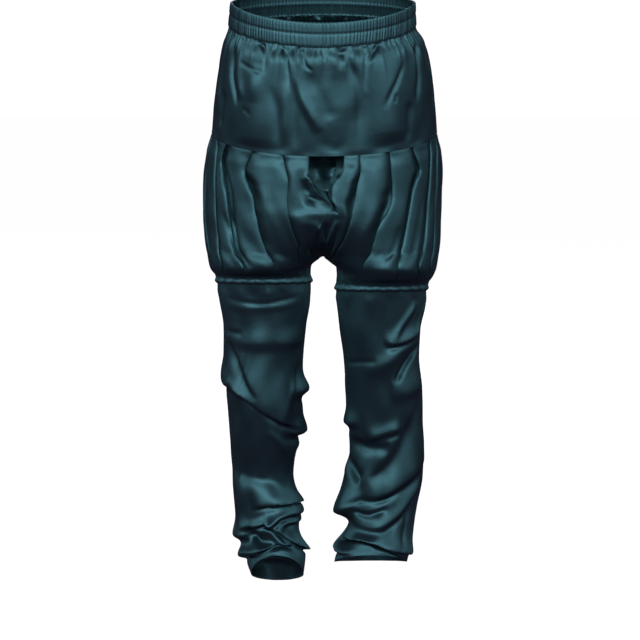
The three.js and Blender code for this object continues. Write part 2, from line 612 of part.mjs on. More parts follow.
// The way out from a leg's middle, level.
function fromMiddle(side, table, p, z) {
  const middle = (side * (track(table, 'inner', z) + track(table, 'outer', z))) / 2;
  return new THREE.Vector3(p.x - middle, p.y, 0).normalize();
}

// The narrow band round a leg, between the balloon panel and the lower leg.
function legBand(side, word, table, band) {
  const { columns, proud, edge, bevel } = LEG_BAND;
  const rows = [
    { z: band.top - SEAM / 2, out: edge },
    { z: band.top - bevel, out: proud },
    { z: band.bottom + bevel, out: proud },
    { z: band.bottom + SEAM / 2, out: edge },
  ];
  const grid = rows.map(({ z, out }) => {
    const row = [];
    for (let c = 0; c < columns; c += 1) {
      const p = legPoint(side, table, c / columns, z);
      row.push(p.addScaledVector(fromMiddle(side, table, p, z), out));
    }
    return row;
  });
  const normals = withNormals(grid, side < 0, () => true);
  trousers.add(wall(`band_${word}`, grid, normals, BAND_CLOTH, TEAL_BAND, { closed: true, flip: side < 0 }));
}

// One lower leg, front and back, from the band to the hem.
function lowerLeg(side, word, table, band, folds, heights) {
  const hem = table[table.length - 1].z;
  const rows = [band.bottom - SEAM / 2, ...heights, hem];
  const alongs = [];
  for (let c = 0; c <= LEG_COLUMNS; c += 1) {
    alongs.push(c / LEG_COLUMNS);
    if (2 * c === LEG_COLUMNS) alongs.push(c / LEG_COLUMNS);
  }
  const grid = rows.map((z) => alongs.map((along) => {
    const p = legPoint(side, table, along, z);
    const { out, down } = legFolds(folds, 360 * (along - 0.25), p.z);
    const held = smooth((band.bottom - z) / LEG_HELD);
    const free = smooth((z - hem) / LEG_FREE);
    p.addScaledVector(fromMiddle(side, table, p, z), out * held * (1 + free) / 2);
    p.z -= down * held * free;
    return p;
  }));
  const normals = withNormals(grid, side < 0, () => true);
  const last = alongs.length - 1;
  const middle = alongs.length / 2;
  for (const c of [0, middle - 1]) alongSeam(grid, normals, c, 'y', -1);
  for (const c of [middle, last]) alongSeam(grid, normals, c, 'y', 1);
  for (const [end, from, to] of [['front', 0, middle], ['back', middle, alongs.length]]) {
    const part = (list) => list.map((row) => row.slice(from, to));
    trousers.add(wall(`leg_${word}_${end}`, part(grid), part(normals), CLOTH, TEAL, { flip: side < 0 }));
  }
}

waistband();
yoke();
balloon(-1, 'right', RIGHT_LEG, RIGHT_BAND, RIGHT_PLEATS);
balloon(1, 'left', LEFT_LEG, LEFT_BAND, LEFT_PLEATS);
legBand(-1, 'right', RIGHT_LEG, RIGHT_BAND);
legBand(1, 'left', LEFT_LEG, LEFT_BAND);
lowerLeg(-1, 'right', RIGHT_LEG, RIGHT_BAND, RIGHT_FOLDS, RIGHT_ROWS);
lowerLeg(1, 'left', LEFT_LEG, LEFT_BAND, LEFT_FOLDS, LEFT_ROWS);

export default trousers;
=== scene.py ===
# Looks of a pair of pleated satin trousers that stand in the form they are worn in.
# Every sheet of cloth is a thin closed shell on the form of its solid, with its folds laid on it.
import math

import bmesh
import bpy
import numpy as np
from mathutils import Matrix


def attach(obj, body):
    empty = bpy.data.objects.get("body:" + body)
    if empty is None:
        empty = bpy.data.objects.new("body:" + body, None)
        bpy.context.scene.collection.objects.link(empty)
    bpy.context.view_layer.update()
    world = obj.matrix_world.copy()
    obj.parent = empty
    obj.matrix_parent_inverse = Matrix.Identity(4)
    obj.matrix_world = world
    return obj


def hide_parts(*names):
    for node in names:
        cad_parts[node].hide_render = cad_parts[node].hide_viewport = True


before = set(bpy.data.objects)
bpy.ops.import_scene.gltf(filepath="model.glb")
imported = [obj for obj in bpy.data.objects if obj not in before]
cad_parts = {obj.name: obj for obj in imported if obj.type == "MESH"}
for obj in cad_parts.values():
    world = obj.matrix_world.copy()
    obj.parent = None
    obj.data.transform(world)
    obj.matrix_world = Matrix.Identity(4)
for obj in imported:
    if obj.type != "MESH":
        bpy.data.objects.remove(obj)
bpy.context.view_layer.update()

# Sizes in millimetres. X runs to the garment's left, Y to the back, Z up from the waist.
MM = 0.001
CLOTH = 0.8
TUCKED_IN = 2
SEAM = 0.3
CENTRE_SEAM = 0.04
YOKE_SEAM = -211
CROTCH = -423
PARTING = -262
CENTRE_GAP = 0.6
UNDERSIDE = 1.5
DROP_POWER = 1.3
HEEL = 0.55
OVAL = 1.5
DENT_AT, DENT_WIDE = 0.03, 0.14
NEAR = 0.004
RIGHT_BAND = (-457, -469)
LEFT_BAND = (-470, -482)


def table(names, *rows):
    """Rows of numbers as one array a column, from the lowest height up."""
    columns = np.array(rows, float)[::-1].T
    return dict(zip(names.split(), columns))


HIP = table(
    "z half front back shift drop rise pleat dent",
    (18, 158, 103, 108, 0, 33, 14, 0, 0),
    (-23, 161, 106, 112, -1, 33, 14, 0, 0),
    (-45, 171, 113, 122, 1, 33, 14, 0, 2),
    (-75, 179.5, 118, 134, 3, 32, 13, 0, 5.5),
    (-110, 185.5, 121, 144, 3.5, 31, 12, 0, 8.5),
    (-155, 191, 122, 150, 3, 30, 11, 0, 10.5),
    (-211, 196, 120, 148, 2.5, 29, 10, 7, 10.5),
    (-240, 203, 124, 150, 2, 25, 8, 15, 9),
    (-300, 207.5, 130, 153, -.5, 14, 4, 18, 6.5),
    (-330, 207.5, 133, 154, -1, 9, 2, 18, 5),
    (-360, 206.5, 134.5, 154, -1.5, 5, 1, 18, 3),
    (-395, 204.6, 133, 151, -.5, 2, .4, 17, 1),
    (-423, 201.5, 125, 144, 0, 0, 0, 15, 0),
)
CLEFT = table(
    "z deep",
    (-211, 12), (-225, 28), (-240, 38), (-292, 42), (-306, 24), (-316, 4), (-326, 0), (-423, 0),
)
LEG_COLUMNS = "z inner outer front back lift pleat"
RIGHT_LEG = table(
    LEG_COLUMNS,
    (-423, .6, 201.5, 125, 144, 0, 15),
    (-431, 11, 199.5, 121, 138, 2, 14),
    (-440, 20, 196.5, 114, 128, 5, 12),
    (-449, 21, 191.5, 105, 114, 7, 8),
    (-457, 21, 186.5, 95, 100, 8, 2.5),
    (-469, 21, 184.5, 91, 95, 8, 0),
    (-500, 22, 181, 88, 90, 6, 0),
    (-545, 29, 174, 85, 84, 0, 0),
    (-620, 35, 173, 81, 83, 0, 0),
    (-700, 36, 167, 73, 90, 0, 0),
    (-790, 44, 162, 68, 89, 0, 0),
    (-860, 36, 157, 67, 83, 2, 0),
    (-905, 42, 151, 70, 77, 12, 0),
    (-945, 30, 143, 74, 74, 30, 0),
    (-990, 34, 127, 80, 71, 52, 0),
)
LEFT_LEG = table(
    LEG_COLUMNS,
    (-423, .6, 201.5, 125, 144, 0, 15),
    (-432, 12, 200, 122, 139, 2, 14),
    (-442, 23, 198, 117, 131, 4, 13),
    (-456, 24, 191.5, 107, 116, 6, 9),
    (-470, 23, 183.5, 94, 99, 8, 2.5),
    (-482, 23, 181, 90, 94, 8, 0),
    (-510, 25, 179, 87, 89, 6, 0),
    (-550, 29, 171, 84, 83, 0, 0),
    (-600, 36, 169, 81, 82, 0, 0),
    (-660, 40, 175, 76, 87, 0, 0),
    (-710, 42, 175.5, 72, 90, 0, 0),
    (-760, 47, 179, 69, 90, 0, 0),
    (-815, 37, 176.5, 68, 87, 1, 0),
    (-866, 30, 167, 70, 81, 6, 0),
    (-900, 42, 161.5, 73, 78, 12, 0),
    (-930, 27, 158, 79, 74, 20, 0),
    (-966, 20, 149, 86, 70, 30, 0),
)


def smooth(x):
    t = np.clip(x, 0, 1)
    return t * t * (3 - 2 * t)


def bell(x):
    return np.exp(-x * x)


def track(rows, key, z):
    """A table's column at these heights, on a smooth curve through its rows."""
    x = rows["z"]
    y = rows[key]
    slope = np.diff(y) / np.diff(x)
    before, after = slope[:-1], slope[1:]
    same = before * after > 0
    inner = np.where(same, 2 * before * after / np.where(same, before + after, 1), 0)
    tangent = np.concatenate([slope[:1], inner, slope[-1:]])
    z = np.clip(np.asarray(z, float), x[0], x[-1])
    i = np.clip(np.searchsorted(x, z, side="right") - 1, 0, len(x) - 2)
    step = x[i + 1] - x[i]
    t = (z - x[i]) / step
    r = 1 - t
    ends = (1 + 2 * t) * r * r * y[i] + t * t * (3 - 2 * t) * y[i + 1]
    return ends + t * r * step * (r * tangent[i] - t * tangent[i + 1])


def hip_point(side, along, z):
    """A point of the hip: along runs from 0 at the centre front to 1 at the centre back."""
    half = track(HIP, "half", z)
    front = track(HIP, "front", z)
    back = track(HIP, "back", z)
    depth = (front + back) / 2
    middle = (back - front) / 2
    below = (1 - np.clip((z - CROTCH) / (PARTING - CROTCH), 0, 1)) ** UNDERSIDE
    whole = 1 - np.sqrt(np.maximum(1 - below ** 2, 0))
    turn = math.pi * along
    thigh = (half - CENTRE_GAP) / 2
    oval = (1 - whole) * np.sin(turn)
    x = oval * half + whole * (CENTRE_GAP + thigh - thigh * np.cos(2 * turn))
    y = middle - (1 - whole) * depth * np.cos(turn) - whole * depth * np.sin(2 * turn)
    y = y + track(HIP, "dent", z) * bell((side * along - DENT_AT) / DENT_WIDE)
    reach = np.abs(np.cos(turn)) ** DROP_POWER
    lift = np.where(along < 0.5, -track(HIP, "drop", z), track(HIP, "rise", z)) * reach
    return np.stack([side * x + oval * track(HIP, "shift", z), y, z + lift], -1)


def leg_point(side, leg, along, z):
    """A point of a leg: along runs from 0 at the inseam over the front and the outer side to 1."""
    inner = track(leg, "inner", z)
    outer = track(leg, "outer", z)
    front = track(leg, "front", z)
    back = track(leg, "back", z)
    turn = 2 * math.pi * (along - 0.25)
    ahead = np.cos(turn)
    x = (inner + outer) / 2 + (outer - inner) / 2 * np.sin(turn)
    y = (back - front) / 2 - (front + back) / 2 * ahead
    lift = track(leg, "lift", z) * np.where(ahead > 0, ahead, HEEL * ahead)
    return np.stack([side * x, y, z + lift], -1)


def unit(v):
    return v / np.maximum(np.linalg.norm(v, axis=-1, keepdims=True), 1e-9)


def spline(points, count):
    """count points on a smooth curve through a few."""
    return spline_weights(len(points), np.linspace(0, len(points) - 1, count)) @ np.array(points, float)


def spline_weights(knots, at):
    """How much of each knot goes into the curve at each place, counted in knots."""
    weights = np.zeros((len(at), knots))
    for row, t in enumerate(at):
        i = min(int(t), knots - 2)
        f = t - i
        parts = (
            (i - 1, -f / 2 + f * f - f ** 3 / 2),
            (i, 1 - 2.5 * f * f + 1.5 * f ** 3),
            (i + 1, f / 2 + 2 * f * f - 1.5 * f ** 3),
            (i + 2, (f ** 3 - f * f) / 2),
        )
        for knot, weight in parts:
            weights[row, min(max(knot, 0), knots - 1)] += weight
    return weights


# Folds. A fold's path runs through places on the cloth. wide is how far it reaches to the left
# and to the right of its path, high how far it stands out, and hang how far it sags. A fold
# with an undercut has a trough beside it on the right. ends is the share of its path that fades.
def fold(path, wide, high, hang=0.0, under=0.0, ends=(0.3, 0.3)):
    return dict(path=path, wide=wide, high=high, hang=hang, under=under, ends=ends)


PATH_STEPS = 28
FOLD_REACH = 3.2
UNDERCUT_AT = 1.9
UNDERCUT_WIDE = 0.9
SAG_WIDE = 1.2


def lay_folds(folds, across, z, scale):
    """How far folds push cloth out and down, at places across it and at heights."""
    out = np.zeros(across.shape)
    down = np.zeros(across.shape)
    for f in folds:
        path = spline(f["path"], PATH_STEPS) * (scale, 1)
        reach = FOLD_REACH * max(f["wide"])
        x = across * scale
        near = (x > path[:, 0].min() - reach) & (x < path[:, 0].max() + reach)
        near &= (z > path[:, 1].min() - reach) & (z < path[:, 1].max() + reach)
        if not near.any():
            continue
        p = np.stack([x[near], z[near]], -1)[:, None]
        a = path[:-1]
        d = path[1:] - a
        t = np.clip(((p - a) * d).sum(-1) / (d * d).sum(-1), 0, 1)
        gap = p - (a + t[..., None] * d)
        size = np.linalg.norm(gap, axis=-1)
        best = size.argmin(1)
        rows = np.arange(len(best))
        gap, size = gap[rows, best], size[rows, best]
        side = d[best, 0] * gap[:, 1] - d[best, 1] * gap[:, 0]
        left = side >= 0
        at = (best + t[rows, best]) / len(d)
        fade = smooth(at / f["ends"][0]) * smooth((1 - at) / f["ends"][1])
        far = size / np.where(left, f["wide"][0], f["wide"][1])
        beside = np.where(left, -size, size) / f["wide"][1]
        trough = f["under"] * bell((beside - UNDERCUT_AT) / UNDERCUT_WIDE)
        out[near] += f["high"] * fade * (bell(far) - trough)
        down[near] += f["hang"] * fade * bell(far / SAG_WIDE)
    return out, down


def ripple(x, z, seed, size, high, stretch=1.0):
    """A small uneven swell of the cloth, of about this size, from a few crossing waves."""
    random = np.random.RandomState(seed)
    total = np.zeros(np.broadcast(x, z).shape)
    for _ in range(9):
        way = random.uniform(0, math.pi)
        pitch = size * random.uniform(0.7, 1.6)
        start = random.uniform(0, 2 * math.pi)
        step = (x * math.cos(way) + z * math.sin(way) / stretch) * 2 * math.pi / pitch
        total += np.sin(step + start)
    return total * high / 3


def gathers(x, below, seed, width, spacing, high, reach):
    """Small uneven gathers that hang from an edge and die out below it."""
    random = np.random.RandomState(seed)
    count = int(width / spacing)
    out = np.zeros(np.broadcast(x, below).shape)
    for i in range(count):
        place = (i + random.uniform(0.1, 0.9)) * width / count
        wide = random.uniform(0.22, 0.5) * spacing
        long = reach * random.uniform(0.35, 1.3)
        lean = random.uniform(-0.12, 0.12)
        proud = high * random.uniform(0.3, 1.2)
        gap = (x - place - lean * below + width / 2) % width - width / 2
        out += proud * bell(gap / wide) * smooth(1 - below / long)
    return out


# Meshes
SHARP_FROM = 75


def directions(grid, wrap):
    """The way out from a grid of points, at each point."""
    if wrap:
        across = np.roll(grid, -1, 1) - np.roll(grid, 1, 1)
    else:
        across = np.gradient(grid, axis=1)
    n = unit(np.cross(across, np.gradient(grid, axis=0)))
    middle = grid.mean(axis=1, keepdims=True)
    facing = ((grid - middle)[..., :2] * n[..., :2]).sum()
    return n if facing > 0 else -n


def put(name, data):
    """A new thing in the scene."""
    thing = bpy.data.objects.new(name, data)
    bpy.context.collection.objects.link(thing)
    return thing


def shell(name, grid, thick=CLOTH, wrap=False):
    """A thin closed shell: the grid outside, and the same grid moved in by the cloth's thickness."""
    rows, columns = grid.shape[:2]
    n = directions(grid, wrap)
    points = np.concatenate([grid.reshape(-1, 3), (grid - thick * n).reshape(-1, 3)]) * MM
    index = np.arange(rows * columns).reshape(rows, columns)
    if wrap:
        index = np.concatenate([index, index[:, :1]], 1)
    a, b, c, d = index[:-1, :-1], index[1:, :-1], index[1:, 1:], index[:-1, 1:]
    outer = np.stack([a, b, c, d], -1).reshape(-1, 4)
    inside = rows * columns
    rims = [(index[0], -1), (index[-1], 1)]
    if not wrap:
        rims += [(index[:, 0], 1), (index[:, -1], -1)]
    edges = []
    for line, way in rims:
        e = np.stack([line[:-1], line[1:], line[1:] + inside, line[:-1] + inside], -1)
        edges.append(e[:, ::-1] if way > 0 else e)
    faces = np.concatenate([outer, outer[:, ::-1] + inside] + edges)
    first = outer[len(outer) // 2]
    corner = points[first]
    normal = np.cross(corner[1] - corner[0], corner[3] - corner[0])
    if (normal * n.reshape(-1, 3)[first[0]]).sum() < 0:
        faces = faces[:, ::-1]
    mesh = bpy.data.meshes.new(name)
    mesh.from_pydata(points, [], faces.tolist())
    lay_uv(mesh, grid)
    mesh.polygons.foreach_set("use_smooth", np.ones(len(faces), bool))
    mesh.set_sharp_from_angle(angle=math.radians(SHARP_FROM))
    mesh.validate()
    return put(name, mesh)


def lay_uv(mesh, grid):
    """Lays the weave along the cloth: metres across it and down it."""
    across = np.linalg.norm(np.diff(grid, axis=1, prepend=grid[:, :1]), axis=-1)
    down = np.linalg.norm(np.diff(grid, axis=0, prepend=grid[:1]), axis=-1)
    u = np.broadcast_to(np.cumsum(across.mean(0)), grid.shape[:2])
    v = np.broadcast_to(np.cumsum(down.mean(1))[:, None], grid.shape[:2])
    flat = np.stack([u, -v], -1).reshape(-1, 2) * MM
    corners = np.empty(len(mesh.loops), int)
    mesh.loops.foreach_get("vertex_index", corners)
    layer = mesh.uv_layers.new(name="cloth")
    layer.data.foreach_set("uv", flat[corners % len(flat)].ravel())


# Materials
METALLIC, IOR, ANISOTROPIC = 0.9, 1.7, 0.85
EDGE_TINT = (0.6, 0.6, 0.7, 1)
CLOUD_SCALE, CRUMPLE_SCALE, TWIST_SCALE, FLOAT_SCALE = 9, 55, 1500, 420
SLUB_SCALE = (900, 60, 1)
UNEVEN_SHINE = 0.06
THREAD_DEPTH, CRUMPLE_DEPTH, CRUMPLED = 0.00012, 0.0012, 0.25
THREAD_ROUGHNESS = 0.6


def new_material(name):
    material = bpy.data.materials.new(name)
    material.use_nodes = True
    tree = material.node_tree
    return material, tree, tree.nodes["Principled BSDF"].inputs


def noise(tree, vector, scale, detail=2):
    """The socket of a noise of this scale."""
    node = tree.nodes.new("ShaderNodeTexNoise")
    node.inputs["Scale"].default_value = scale
    node.inputs["Detail"].default_value = detail
    tree.links.new(vector, node.inputs["Vector"])
    return node.outputs["Fac"]


def tinted(tree, value, colour, shares, places=(0, 1)):
    """The socket of a colour that runs from darker to lighter with a value."""
    node = tree.nodes.new("ShaderNodeValToRGB")
    for element, share, place in zip(node.color_ramp.elements, shares, places):
        element.position = place
        element.color = (*[c * share for c in colour], 1)
    tree.links.new(value, node.inputs["Fac"])
    return node.outputs["Color"]


def bump(tree, height, strength, distance):
    node = tree.nodes.new("ShaderNodeBump")
    node.inputs["Strength"].default_value = strength
    node.inputs["Distance"].default_value = distance
    tree.links.new(height, node.inputs["Height"])
    return node


def satin(name, colour, roughness, weave):
    """Satin: smooth floats across the cloth, a soft tinted shine and a dull dark ground."""
    material, tree, surface = new_material(name)
    surface["Metallic"].default_value = METALLIC
    surface["IOR"].default_value = IOR
    surface["Specular Tint"].default_value = EDGE_TINT
    surface["Anisotropic"].default_value = ANISOTROPIC

    place = tree.nodes.new("ShaderNodeUVMap")
    place.uv_map = "cloth"
    warp = tree.nodes.new("ShaderNodeTangent")
    warp.direction_type = "UV_MAP"
    warp.uv_map = "cloth"
    tree.links.new(warp.outputs["Tangent"], surface["Tangent"])
    body = tree.nodes.new("ShaderNodeTexCoord").outputs["Object"]

    cloudy = noise(tree, body, CLOUD_SCALE, 4)
    tree.links.new(tinted(tree, cloudy, colour, (0.86, 1.1), (0.3, 0.7)), surface["Base Color"])

    streaks = tree.nodes.new("ShaderNodeMapping")
    streaks.inputs["Scale"].default_value = SLUB_SCALE
    tree.links.new(place.outputs["UV"], streaks.inputs["Vector"])
    rough = tree.nodes.new("ShaderNodeMapRange")
    rough.inputs["To Min"].default_value = roughness - UNEVEN_SHINE
    rough.inputs["To Max"].default_value = roughness + UNEVEN_SHINE
    tree.links.new(noise(tree, streaks.outputs["Vector"], 1), rough.inputs["Value"])
    tree.links.new(rough.outputs["Result"], surface["Roughness"])

    floats = tree.nodes.new("ShaderNodeTexWave")
    floats.bands_direction = "X"
    floats.inputs["Scale"].default_value = FLOAT_SCALE
    floats.inputs["Distortion"].default_value = 1.2
    floats.inputs["Detail"].default_value = 2
    tree.links.new(place.outputs["UV"], floats.inputs["Vector"])
    threads = bump(tree, floats.outputs["Fac"], weave, THREAD_DEPTH)
    soft = bump(tree, noise(tree, body, CRUMPLE_SCALE, 3), CRUMPLED, CRUMPLE_DEPTH)
    tree.links.new(threads.outputs["Normal"], soft.inputs["Normal"])
    tree.links.new(soft.outputs["Normal"], surface["Normal"])
    return material


def thread(name, colour):
    """Twisted sewing thread, a little darker and duller than the satin."""
    material, tree, surface = new_material(name)
    surface["Roughness"].default_value = THREAD_ROUGHNESS
    body = tree.nodes.new("ShaderNodeTexCoord").outputs["Object"]
    twist = noise(tree, body, TWIST_SCALE)
    tree.links.new(tinted(tree, twist, colour, (0.7, 1.3)), surface["Base Color"])
    return material


TEAL = (0.042, 0.125, 0.15)
SATIN = satin("satin_plain", TEAL, 0.54, 0.35)
SATIN_PLEATS = satin("satin_pleated", tuple(0.94 * c for c in TEAL), 0.54, 0.35)
SEWING = thread("sewing_thread", tuple(0.6 * c for c in TEAL))
SATIN_BAND = satin("satin_gathered", tuple(1.06 * c for c in TEAL), 0.54, 0.4)


def dress(piece, material, node):
    """Gives a piece its finish and its place in the frame, and hides the solid it stands for."""
    piece.data.materials.append(material)
    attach(piece, "root")
    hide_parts(node)
    return piece


# Stitching: thread spindles that rise from the cloth and dip back into it.
STITCH, STITCH_GAP = 2.2, 0.9
THREAD = 0.3
THREAD_SIDES = 5


def stitch_row(name, line, closed=True):
    """A row of stitches along a line of points, each lying on the cloth that bears it."""
    if closed:
        line = np.concatenate([line, line[:1]])
    steps = np.linalg.norm(np.diff(line, axis=0), axis=1)
    reach = np.concatenate([[0], np.cumsum(steps)])
    count = int(reach[-1] / (STITCH + STITCH_GAP))
    middles = (np.arange(count) + 0.5) * reach[-1] / count

    def at(place):
        return np.stack([np.interp(place, reach, line[:, i]) for i in range(3)], -1)

    middle, ahead = at(middles), unit(at(middles + STITCH / 2) - at(middles - STITCH / 2))
    up = unit(np.cross(np.cross(ahead, outward(middle - line.mean(0))), ahead))
    beside = np.cross(ahead, up)
    turns = np.arange(THREAD_SIDES) * 2 * math.pi / THREAD_SIDES
    points, faces = [], []
    for i in range(count):
        base = len(points)
        points.append(middle[i] - ahead[i] * STITCH / 2 - up[i] * THREAD)
        for way in (-0.27, 0.27):
            for t in turns:
                rim = up[i] * math.cos(t) + beside[i] * math.sin(t)
                points.append(middle[i] + ahead[i] * way * STITCH + rim * THREAD + up[i] * 0.1)
        points.append(middle[i] + ahead[i] * STITCH / 2 - up[i] * THREAD)
        for k in range(THREAD_SIDES):
            a, b = base + 1 + k, base + 1 + (k + 1) % THREAD_SIDES
            c, d = b + THREAD_SIDES, a + THREAD_SIDES
            faces += [(base, b, a), (a, b, c, d), (d, c, base + 1 + 2 * THREAD_SIDES)]
    mesh = bpy.data.meshes.new(name)
    mesh.from_pydata((np.array(points) * MM).tolist(), [], faces)
    mesh.polygons.foreach_set("use_smooth", np.ones(len(faces), bool))
    mesh.validate()
    piece = put(name, mesh)
    piece.data.materials.append(SEWING)
    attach(piece, "root")
    return piece


# Waistband
WAIST_TOP, WAIST_BOTTOM = 18, -23
WAIST_ROWS = 22
RIBS = 150
RIB_COLUMNS = 8
STITCH_AT, LOWER_STITCH_AT = 0.48, 0.91
BAND_WALL = 3
RIB_PUFF, RIB_HIGH, PINCHED_RIB_HIGH = 1.5, 0.6, 0.3
FRILL = 1.3
LEAN_SPAN = 160
# How far the ribs lean below the middle stitches, at shares of the way round the waist.
LEAN_AT = [0, 0.08, 0.14, 0.2, 0.4, 0.7, 0.86, 0.94, 1]
LEAN = [0, 5, 9, 4, 0, -2, -3, -1, 0]
# How much of its puff the waistband has, at shares of the way down.
PUFF_AT = [0, 0.05, 0.2, 0.38, 0.45, 0.48, 0.51, 0.6, 0.78, 0.92, 1]
PUFF = [0.35, 0.8, 1, 0.95, 0.7, 0.4, 0.7, 0.95, 1, 0.85, 0.2]


def outward(p):
    return unit(p * (1, OVAL, 0))


def waist_surface(turn, z):
    """A point of the hip at a turn in radians from the centre front to the garment's left."""
    turn = turn % (2 * math.pi)
    right = turn > math.pi
    along = np.where(right, 2 * math.pi - turn, turn) / math.pi
    side = np.where(right, -1.0, 1.0)
    return hip_point(side, along, z)


def rib_phase():
    """Where each rib lies round the waist: unevenly spaced."""
    random = np.random.RandomState(5)
    steps = random.uniform(0.72, 1.3, RIBS)
    return np.concatenate([[0], np.cumsum(steps)]) / steps.sum()


def waistband():
    columns = RIBS * RIB_COLUMNS

    def each_rib(values):
        return np.interp(np.arange(columns) / RIB_COLUMNS, np.arange(RIBS + 1), values)

    place = each_rib(rib_phase())
    random = np.random.RandomState(8)
    proud = random.uniform(0.55, 1.25, RIBS + 1)
    proud[-1] = proud[0]
    ruffle = random.uniform(-1, 0.5, RIBS + 1)
    ruffle[-1] = ruffle[0]
    twelfths = np.arange(13) / 12
    slant = np.interp(place, twelfths, np.interp(twelfths, LEAN_AT, LEAN))[None, :]
    down = np.linspace(0, 1, WAIST_ROWS)[:, None]
    low = smooth((down - STITCH_AT) / 0.15)
    turn = 2 * math.pi * place[None, :] - low * (down - STITCH_AT) * slant / LEAN_SPAN
    z = WAIST_TOP - down * (WAIST_TOP - WAIST_BOTTOM)
    z = z + FRILL * each_rib(ruffle)[None, :] * smooth((down - 0.8) / 0.2)
    p = waist_surface(turn, np.broadcast_to(z, turn.shape))
    wave = np.abs(np.sin(math.pi * np.arange(columns) / RIB_COLUMNS)) ** 0.75
    rib = (wave * 2 - 1)[None, :] * each_rib(proud)[None, :]
    puff = np.interp(down, PUFF_AT, PUFF)
    out = puff * (RIB_PUFF + RIB_HIGH * rib) + PINCHED_RIB_HIGH * rib * (1 - puff)
    p = p + outward(p) * out[..., None]
    piece = shell("Waistband", p, thick=BAND_WALL, wrap=True)
    for word, at in (("Middle", STITCH_AT), ("Lower", LOWER_STITCH_AT)):
        stitch_row(f"WaistbandStitches{word}", p[round(at * (WAIST_ROWS - 1))])
    return dress(piece, SATIN_BAND, "waistband")


# Yoke. Folds lie at a turn in degrees from the centre front to the garment's left, and a height.
YOKE_SCALE = 2.75
YOKE_FRONT_FOLDS = [
    fold([(-63, -34), (-61, -80), (-57, -110), (-51, -142)], (6, 5), -4.5),
    fold([(-55, -40), (-53, -90), (-48, -130)], (7, 6), 3),
    fold([(-54, -63), (-48, -70), (-39, -74), (-35, -72)], (4, 4), -1.1),
    fold([(-43, -25), (-36, -40), (-34, -80)], (4, 3), -3.2, ends=(.05, .5)),
    fold([(-40, -60), (-40, -130)], (12, 11), 3.2, ends=(.5, .5)),
    fold([(-47, -141), (-40, -151)], (4, 4), -.8),
    fold([(-29, -92), (-25, -143), (-25, -196)], (8, 7), -2.6, ends=(.4, .4)),
    fold([(-21, -80), (-20, -200)], (7, 7), 2.6, ends=(.4, .4)),
    fold([(-15.5, -80), (-14, -200)], (6, 6), -2.2, ends=(.4, .4)),
    fold([(-26, -25), (-22, -41), (-19, -78), (-18, -107)], (3, 3), -2.4, ends=(.05, .5)),
    fold([(-23, -25), (-20, -47)], (2, 2), -1.5, ends=(.05, .5)),
    fold([(-18, -44), (-11, -110), (-6, -142), (-2, -172)], (8, 7), 5, ends=(.4, .35)),
    fold([(-8, -60), (0, -118), (5, -150)], (10, 10), -2),
    fold([(-13, -30), (-10, -54), (-5, -66)], (3, 3), -2, ends=(.05, .4)),
    fold([(-1, -25), (1, -48)], (2, 2), -1.6, ends=(.05, .5)),
    fold([(9, -25), (10, -64)], (3, 3), -2.2, ends=(.05, .5)),
    fold([(11, -28), (15, -56), (19, -92), (19, -150), (18, -206)], (8, 7), -4, ends=(.08, .3)),
    fold([(26, -25), (23, -74), (23, -104)], (3, 3), -2.2, ends=(.05, .5)),
    fold([(37, -25), (29, -42), (25, -56)], (3, 3), -2.4, ends=(.05, .4)),
    fold([(51, -60), (43, -88), (37, -109), (32, -138)], (5, 4), -2.6),
    fold([(40, -112), (38, -130)], (3, 3), -1.3),
    fold([(72, -36), (65, -60), (61, -102), (56, -140)], (6, 6), -4.6),
    fold([(-8, -160), (0, -187), (6, -198), (12, -186), (15, -150), (20, -108)], (10, 10), -1.1),
    fold([(4, -36), (4, -80), (5, -130)], (36, 34), -3, ends=(.5, .5)),
    fold([(-41, -60), (-39, -120), (-38, -206)], (26, 26), 4, ends=(.7, .15)),
    fold([(38, -44), (38, -120), (38, -200)], (24, 24), 6, ends=(.5, .2)),
    fold([(78, -60), (80, -130), (78, -190)], (8, 8), 3),
    fold([(-74, -40), (-76, -100), (-73, -170)], (9, 8), 3.5),
    fold([(-66, -120), (-68, -190)], (7, 7), -3),
    fold([(50, -130), (47, -200)], (9, 8), -2.5),
]
YOKE_BACK_FOLDS = [
    fold([(104, -26), (108, -80), (106, -150)], (8, 7), 4, ends=(.1, .4)),
    fold([(112, -26), (116, -70), (120, -110)], (5, 5), -3.4, ends=(.05, .5)),
    fold([(126, -26), (124, -74), (127, -132)], (6, 6), 4, ends=(.1, .5)),
    fold([(133, -26), (136, -64)], (4, 3), -2.6, ends=(.05, .5)),
    fold([(142, -30), (146, -90), (142, -160), (144, -202)], (7, 7), -4.2, ends=(.1, .2)),
    fold([(153, -28), (156, -88), (160, -136)], (7, 6), 4.6, ends=(.1, .5)),
    fold([(165, -26), (166, -58), (163, -86)], (4, 4), -2.6, ends=(.05, .5)),
    fold([(171, -60), (175, -110), (178, -160)], (6, 6), 3),
    fold([(183, -26), (181, -72), (184, -128)], (5, 5), -3.6, ends=(.05, .5)),
    fold([(193, -30), (190, -84), (192, -150), (188, -200)], (8, 7), 4.4, ends=(.1, .3)),
    fold([(202, -26), (205, -62)], (3, 4), -2.6, ends=(.05, .5)),
    fold([(214, -26), (210, -88), (206, -140)], (6, 6), -4, ends=(.05, .4)),
    fold([(226, -34), (224, -94), (228, -170)], (8, 8), 4.5, ends=(.2, .4)),
    fold([(237, -26), (240, -70)], (4, 4), -2.8, ends=(.05, .5)),
    fold([(250, -30), (247, -90), (250, -150)], (7, 7), -3.6, ends=(.1, .4)),
    fold([(259, -40), (257, -120), (260, -190)], (8, 8), 3.4),
    fold([(150, -150), (172, -178), (196, -172), (214, -150)], (8, 10), -2.6),
    fold([(120, -160), (134, -184), (150, -188)], (7, 8), 2.2),
]
YOKE_ROWS = 74
YOKE_COLUMNS = 300
YOKE_STITCH_ROW = 3
YOKE_TUCK, YOKE_TUCK_REACH = 4, 32
